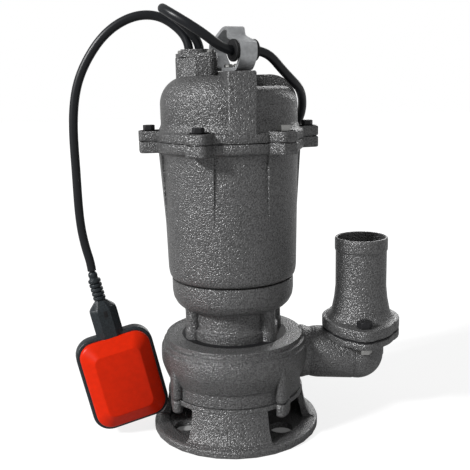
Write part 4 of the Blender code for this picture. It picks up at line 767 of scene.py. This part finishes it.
class Top(Assembly):
    """The cable gland, the lifting handle and the rubber cord holder."""

    plain = {"gland_rubber": Surface.RUBBER, "gland_plate": Surface.CAST_IRON,
             "gland_screw_1": Surface.STEEL, "gland_screw_2": Surface.STEEL,
             "handle_screw_1": Surface.STEEL, "handle_screw_2": Surface.STEEL}
    handle_at = move(4.3, -25.0) @ turn("Z", -60.0)

    def build(self) -> None:
        self.put(cad_copy("handle"), Surface.GALVANIZED, "handle", edge=0.7)
        holder = rounded([(4.6, 12.05), (10.0, 12.05), (10.0, 9.05), (6.8, 9.05), (6.8, -9.05),
                          (10.0, -9.05), (10.0, -12.05), (4.6, -12.05)], 0.9)
        at = self.handle_at @ move(20.4, 0.0, 378.1) @ turn("X", -90.0)
        self.put(turned("cord_holder_spool", holder, at, looped=True, sides=64), Surface.RUBBER,
                 "cord_holder")


class Rotor(Assembly):
    """All that turns with the shaft."""

    body = "rotor"
    plain = {"shaft": Surface.STEEL, "impeller": Surface.BRONZE, "impeller_nut": Surface.STEEL,
             "impeller_washer": Surface.STEEL, "seal_rotating": Surface.CERAMIC,
             "rotor_core": Surface.LAMINATION}


@dataclass
class FloatSizes:
    """Sizes of the float in its own frame, whose origin is on the hinge."""

    middle: float = -109.5
    width: float = 78.0
    height: float = 97.0
    corner: float = 18.0
    rim_t: float = 15.0
    rim_wall: float = 4.5


class FloatSwitch(Assembly):
    """The float: its rim, two red shells, the boot with its strain relief, and the switch."""

    body = "float"
    plain = {"ball_cage": Surface.BLACK_PLASTIC, "micro_switch": Surface.BLACK_PLASTIC,
             "switch_lever": Surface.STEEL}
    at = move(-138.4, -18.0, 166.0) @ turn("Y", -12.5) @ turn("Z", 15.0)

    def __init__(self, shelf: FinishShelf, sizes: FloatSizes = FloatSizes()) -> None:
        super().__init__(shelf)
        self.sizes = sizes

    def build(self) -> None:
        s = self.sizes
        inner = round_box(s.width - 2 * s.rim_wall, s.height - 2 * s.rim_wall,
                          s.corner - s.rim_wall, s.middle)
        rim = slab("float_rim_band", round_box(s.width, s.height, s.corner, s.middle), -s.rim_t / 2,
                   s.rim_t / 2, 2.2, self.at @ turn("X", 90.0), bore=inner)
        self.put(rim, Surface.BLACK_PLASTIC, "float_rim")
        for name, facing in (("float_shell_front", -1.0), ("float_shell_back", 1.0)):
            self.put(self.shell(name, facing), Surface.FLOAT_RED, name)
        self.put(self.boot(), Surface.BLACK_PLASTIC, "float_boot", edge=0.5)
        # Painted shade: a thin dark plate on the boot's front stands for the shade inside a slot.
        slot = slab("boot_slot_painted_shade", round_box(3.6, 6.4, 1.2, -39.6), 9.6, 10.15, 0.1,
                    self.at @ move(1.2) @ turn("X", 90.0))
        self.put(slot, Surface.RUBBER)

    def shell(self, name: str, facing: float) -> bpy.types.Object:
        """A dished shell: a flat seat, a rounded side, a sloping border and a flat middle facet.

        Each row of sizes is one round box: its width, height, corner radius and depth.
        """
        sizes = [(40.0, 57.0, 6.0, 17.8), (66.0, 85.0, 12.5, 9.4), (66.0, 85.0, 12.5, 7.8),
                 (71.0, 90.0, 15.0, 7.8), (71.0, 90.0, 15.0, 9.6), (70.5, 89.5, 14.8, 10.8),
                 (69.2, 88.2, 14.3, 11.8), (67.0, 86.0, 13.6, 12.7), (47.6, 64.6, 8.2, 19.7),
                 (46.4, 63.4, 7.6, 20.15), (44.8, 61.8, 7.0, 20.35)]
        rings = []
        for width, height, corner, depth in sizes:
            plan = round_box(width, height, corner, self.sizes.middle)
            level = np.full(len(plan), facing * depth)
            rings.append(np.column_stack([plan[:, 0], level, plan[:, 1]]))
        return skin(f"{name}_dish", np.array(rings), at=self.at)

    def boot(self) -> bpy.types.Object:
        """The block where the lead enters the float, and the ribbed strain relief above it.

        Each level is one eight-sided plan of the block: its width, depth and height.
        """
        cut, rib_r, core_r, ball_r = 0.45, 6.25, 4.7, 4.6
        levels = [(9.5, 9.0, -25.5), (10.8, 10.2, -26.6), (24.6, 18.6, -33.9), (26.3, 19.6, -35.3),
                  (27.0, 20.0, -37.2), (27.0, 20.0, -68.0)]
        rings = []
        for width, depth, height in levels:
            x, y = width / 2, depth / 2
            plan = [(x, cut * y), (cut * x, y), (-cut * x, y), (-x, cut * y), (-x, -cut * y),
                    (-cut * x, -y), (cut * x, -y), (x, -cut * y)]
            rings.append(np.column_stack([plan, np.full(len(plan), height)]))
        profile = [(ball_r * math.cos(t), ball_r * math.sin(t))
                   for t in np.linspace(1.5, -0.5, 10)]
        profile.append((ball_r, -3.7))
        for rib in range(5):
            top = -4.3 - 4.4 * rib
            profile += rounded([(core_r, top), (rib_r, top - 0.2), (rib_r, top - 3.2),
                                (core_r, top - 3.4)], 0.9, 4)
        profile += [(core_r, -27.5)]
        block = skin("boot_block", np.array(rings), at=self.at)
        return fused("float_boot_moulding", [block, turned("relief", profile, self.at, sides=56)])


class SwitchBall(Assembly):
    """The steel ball that tips the float's switch."""

    body = "ball"

    def build(self) -> None:
        radius = 8.0
        profile = [(radius * math.cos(t), radius * math.sin(t))
                   for t in np.linspace(-1.56, 1.56, 33)]
        ball = turned("switch_ball", profile, FloatSwitch.at @ move(0.0, 0.0, -129.8), sides=64)
        self.put(ball, Surface.STEEL, "float_ball")


# ---------------------------------------------------------------- cords
@dataclass
class CoilSizes:
    """The coil on the floor behind the pump."""

    x: float = 5.0
    y: float = 172.0
    mean_r: float = 52.0
    step: float = 9.3
    rise: float = 9.2
    low: float = 4.6
    turns: int = 13
    layers: int = 4
    start: float = 225.0


class Leads(Assembly):
    """The float lead, and the mains lead with its coil and plug."""

    lead_r = 4.3
    float_length = 0.35
    mains_length = 5.0
    float_x, mains_x, gland_y = -36.0, -26.0, -14.5
    inner_z, straight_z = 363.0, 376.0
    plug_at = move(3.7, 210.7, 55.8) @ turn("Z", 20.0) @ turn("Y", 90.0)

    def __init__(self, shelf: FinishShelf, coil: CoilSizes = CoilSizes()) -> None:
        super().__init__(shelf)
        self.coil = coil

    def build(self) -> None:
        lead = self.put(self.line("float_lead_cord", self.float_path()), Surface.CORD, "float_lead")
        plug = rounded([(0.5, 19.0), (19.0, 19.0), (19.0, -4.0), (15.0, -13.0), (8.2, -20.0),
                        (6.0, -40.0), (4.4, -40.6)], 3.0)
        body = self.put(turned("plug_moulding", plug, self.plug_at, sides=72),
                        Surface.BLACK_PLASTIC, "plug_body")
        pins = [self.put(cad_copy(f"plug_pin_{i}"), Surface.STEEL, f"plug_pin_{i}", edge=0.3)
                for i in (1, 2)]
        mains = self.put(self.line("mains_lead_cord", self.mains_path()), Surface.CORD,
                         "mains_lead", "mains_coil")

    def line(self, name: str, points: np.ndarray) -> bpy.types.Object:
        """A round cord along a path."""
        curve = bpy.data.curves.new(name, "CURVE")
        curve.dimensions = "3D"
        curve.bevel_depth = self.lead_r * MM
        curve.bevel_resolution = 6
        curve.use_fill_caps = True
        strand = curve.splines.new("POLY")
        strand.points.add(len(points) - 1)
        rows = np.column_stack([points * MM, np.ones(len(points))])
        strand.points.foreach_set("co", rows.ravel())
        strand.use_smooth = True
        piece = bpy.data.objects.new(name, curve)
        bpy.context.scene.collection.objects.link(piece)
        length = float(np.linalg.norm(np.diff(points, axis=0), axis=1).sum()) * MM
        LOG.info("%s is %.3f m long", name, length)
        return piece

    def coil_point(self, turns: float, along: float = 0.0) -> Point:
        """A point of the coil after some turns, or one this far beyond it along its tangent.

        The radius goes in and out by a straight zigzag, one layer at a time, and the height rises
        by one layer in the half turn where the zigzag reverses.

        Args:
            turns: how many turns lie before the point.
            along: length past it along the tangent.

        Returns:
            The point.
        """
        c = self.coil
        per_layer = c.turns / c.layers
        place = (turns / per_layer) % 2.0
        radius = c.mean_r + c.step * per_layer * (0.5 - min(place, 2.0 - place))
        height = c.low
        for layer in range(1, c.layers):
            rise = min(max((turns - layer * per_layer) * 2.0 + 0.5, 0.0), 1.0)
            height += c.rise * rise * rise * (3.0 - 2.0 * rise)
        angle = math.radians(c.start - 360.0 * turns)
        return (c.x + radius * math.cos(angle) + along * math.sin(angle),
                c.y + radius * math.sin(angle) - along * math.cos(angle), height)

    def float_path(self) -> np.ndarray:
        """From the gland up over the crest and down to the float's strain relief."""
        x, y = self.float_x, self.gland_y
        return np.concatenate([[(x, y, self.inner_z)], spline([
            (x, y, self.straight_z), (x, y, 382.0), (-38.9, -13.0, 391.5), (-48.3, -11.0, 402.5),
            (-62.1, -11.0, 410.8), (-77.6, -12.3, 412.9), (-96.1, -13.7, 407.9),
            (-112.2, -15.1, 397.2), (-128.3, -16.0, 378.2), (-141.3, -16.6, 352.5),
            (-147.0, -17.3, 325.1), (-148.2, -18.0, 270.0), (-148.0, -18.2, 239.9),
            (-146.4, -18.1, 211.0), (-142.3, -18.0, 188.5), (-140.2, -18.0, 179.5),
            (-139.0, -18.0, 170.6)])])

    def mains_path(self) -> np.ndarray:
        """From the gland through the cord holder, down the back, round the coil, to the plug."""
        x, y = self.mains_x, self.gland_y
        crest = [(x, y, self.straight_z), (x - 0.1, y - 0.4, 381.0), (-29.5, -18.5, 391.0),
                 (-38.0, -24.0, 401.5), (-48.5, -30.5, 410.5), (-55.8, -41.0, 415.3),
                 (-54.0, -56.0, 413.8), (-40.0, -68.5, 404.9), (-19.5, -68.0, 391.5),
                 (-6.0, -57.5, 382.0), (2.81, -49.42, 378.1)]
        drop = [(26.19, -35.92, 378.1), (37.0, -28.5, 374.3), (48.5, -18.5, 363.5),
                (60.8, -7.0, 351.0), (69.0, 6.0, 342.0), (73.0, 20.5, 330.5),
                (72.2, 38.5, 313.5), (61.5, 58.0, 290.1),
                (46.5, 74.2, 262.1), (30.5, 85.8, 225.1), (16.5, 91.8, 185.1), (9.0, 94.0, 145.0),
                (5.5, 94.5, 112.0), (1.5, 94.5, 80.0), (-4.5, 95.5, 50.0), (-12.5, 99.0, 26.0),
                (-21.5, 105.0, 11.0), self.coil_point(0.0, -18.3)]
        lean = math.radians(20.0)
        ends = [(3.7 + along * math.cos(lean), 210.7 + along * math.sin(lean), 55.8)
                for along in (-49.3, -39.0)]
        tail = [self.coil_point(float(self.coil.turns), 9.0), (-57.9, 144.0, 33.8),
                (-62.8, 159.5, 38.2), (-61.5, 175.5, 45.0), (-54.0, 188.0, 51.5), ends[0]]
        per_turn = 44
        coil = [self.coil_point(step / per_turn) for step in range(self.coil.turns * per_turn + 1)]
        return np.concatenate([[(x, y, self.inner_z)], spline(crest), spline(drop), coil,
                               spline(tail), [ends[1]]])


# ---------------------------------------------------------------- stage
def add_camera() -> None:
    """The photo's view: a little above the pump, tipped down and very slightly rolled."""
    tip, roll = math.radians(11.83), math.radians(-1.3)
    ahead = Vector((0.0, math.cos(tip), -math.sin(tip)))
    up, side = Vector((0.0, math.sin(tip), math.cos(tip))), Vector((1.0, 0.0, 0.0))
    right = math.cos(roll) * side + math.sin(roll) * up
    over = -math.sin(roll) * side + math.cos(roll) * up
    data = bpy.data.cameras.new("camera")
    data.lens, data.sensor_width = SENSOR_MM * FOCAL_PX / PHOTO_PX, SENSOR_MM
    data.clip_start, data.clip_end = 0.01, 50.0
    camera = bpy.data.objects.new("camera", data)
    matrix = Matrix((right, over, -ahead)).transposed().to_4x4()
    matrix.translation = Vector((3.2, -740.0, 354.5)) * MM
    camera.matrix_world = matrix
    bpy.context.scene.collection.objects.link(camera)
    bpy.context.scene.camera = camera


def add_sun(name: str, toward: Point, strength: float, spread: float) -> None:
    """A soft lamp that shines from the direction toward."""
    data = bpy.data.lights.new(name, "SUN")
    data.energy, data.angle = strength, math.radians(spread)
    lamp = bpy.data.objects.new(name, data)
    lamp.rotation_euler = Vector(toward).to_track_quat("Z", "Y").to_euler()
    bpy.context.scene.collection.objects.link(lamp)


def add_floor() -> None:
    """A pale floor that looks nearly white to the camera and keeps the pump's shadow.

    Its glow fades out under the foot, as painted shade where no light reaches a real floor.
    """
    reach, level = 6e3, -0.4
    corners = [(-reach, -reach, level), (reach, -reach, level), (reach, reach, level),
               (-reach, reach, level)]
    floor = solid("floor", np.array(corners), [[0, 1, 2, 3]])
    material = bpy.data.materials.new("floor")
    material.use_nodes = True
    nodes, links = material.node_tree.nodes, material.node_tree.links
    nodes.clear()
    rays, choice, both, plain, seen, glow, out, place, range_node, fade = (
        nodes.new(f"ShaderNode{kind}") for kind in (
            "LightPath", "MixShader", "AddShader", "BsdfDiffuse", "BsdfDiffuse", "Emission",
            "OutputMaterial", "TexCoord", "VectorMath", "MapRange"))
    plain.inputs["Color"].default_value = (0.48, 0.48, 0.48, 1.0)
    seen.inputs["Color"].default_value = (0.3, 0.3, 0.3, 1.0)
    range_node.operation = "LENGTH"
    # Painted shade under the foot: the glow is 0.06 within 76 mm of the shaft's axis and 0.78
    # beyond 80 mm.
    for name, value in (("From Min", 0.076), ("From Max", 0.08),
                        ("To Min", 0.06), ("To Max", 0.78)):
        fade.inputs[name].default_value = value
    links.new(place.outputs["Object"], range_node.inputs[0])
    links.new(range_node.outputs["Value"], fade.inputs["Value"])
    links.new(fade.outputs["Result"], glow.inputs["Strength"])
    links.new(seen.outputs["BSDF"], both.inputs[0])
    links.new(glow.outputs["Emission"], both.inputs[1])
    links.new(rays.outputs["Is Camera Ray"], choice.inputs["Fac"])
    links.new(plain.outputs["BSDF"], choice.inputs[1])
    links.new(both.outputs["Shader"], choice.inputs[2])
    links.new(choice.outputs["Shader"], out.inputs["Surface"])
    floor.data.materials.append(material)


def add_world() -> None:
    """A white background for the camera, and a weaker white room for all other rays."""
    world = bpy.data.worlds.new("world")
    bpy.context.scene.world = world
    world.use_nodes = True
    nodes, links = world.node_tree.nodes, world.node_tree.links
    nodes.clear()
    rays, mix, out, room, white = (nodes.new(f"ShaderNode{kind}") for kind in (
        "LightPath", "MixShader", "OutputWorld", "Background", "Background"))
    for background, strength in ((room, 0.42), (white, 1.0)):
        background.inputs["Color"].default_value = WHITE
        background.inputs["Strength"].default_value = strength
    links.new(rays.outputs["Is Camera Ray"], mix.inputs["Fac"])
    links.new(room.outputs["Background"], mix.inputs[1])
    links.new(white.outputs["Background"], mix.inputs[2])
    links.new(mix.outputs["Shader"], out.inputs["Surface"])


def add_stage() -> None:
    """The floor, the background, and soft light: key from the upper left, fill and back."""
    add_floor()
    add_world()
    add_sun("key", (-0.85, -0.55, 0.6), 3.9, 9.0)
    add_sun("fill", (0.9, -0.9, 0.5), 0.05, 40.0)
    add_sun("back", (0.35, 0.95, 0.3), 0.8, 30.0)
    bpy.context.scene.view_settings.view_transform = "Standard"


def main() -> None:
    """Builds the camera, the cords, the pump's assemblies and the stage."""
    logging.basicConfig(level=logging.INFO, format="%(message)s")
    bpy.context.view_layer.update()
    add_camera()
    shelf = FinishShelf()
    for assembly in (Leads, WetEnd, Discharge, Motor, Top, Rotor, FloatSwitch, SwitchBall):
        assembly(shelf).dress()
    add_stage()


if __name__ == "__main__":
    main()
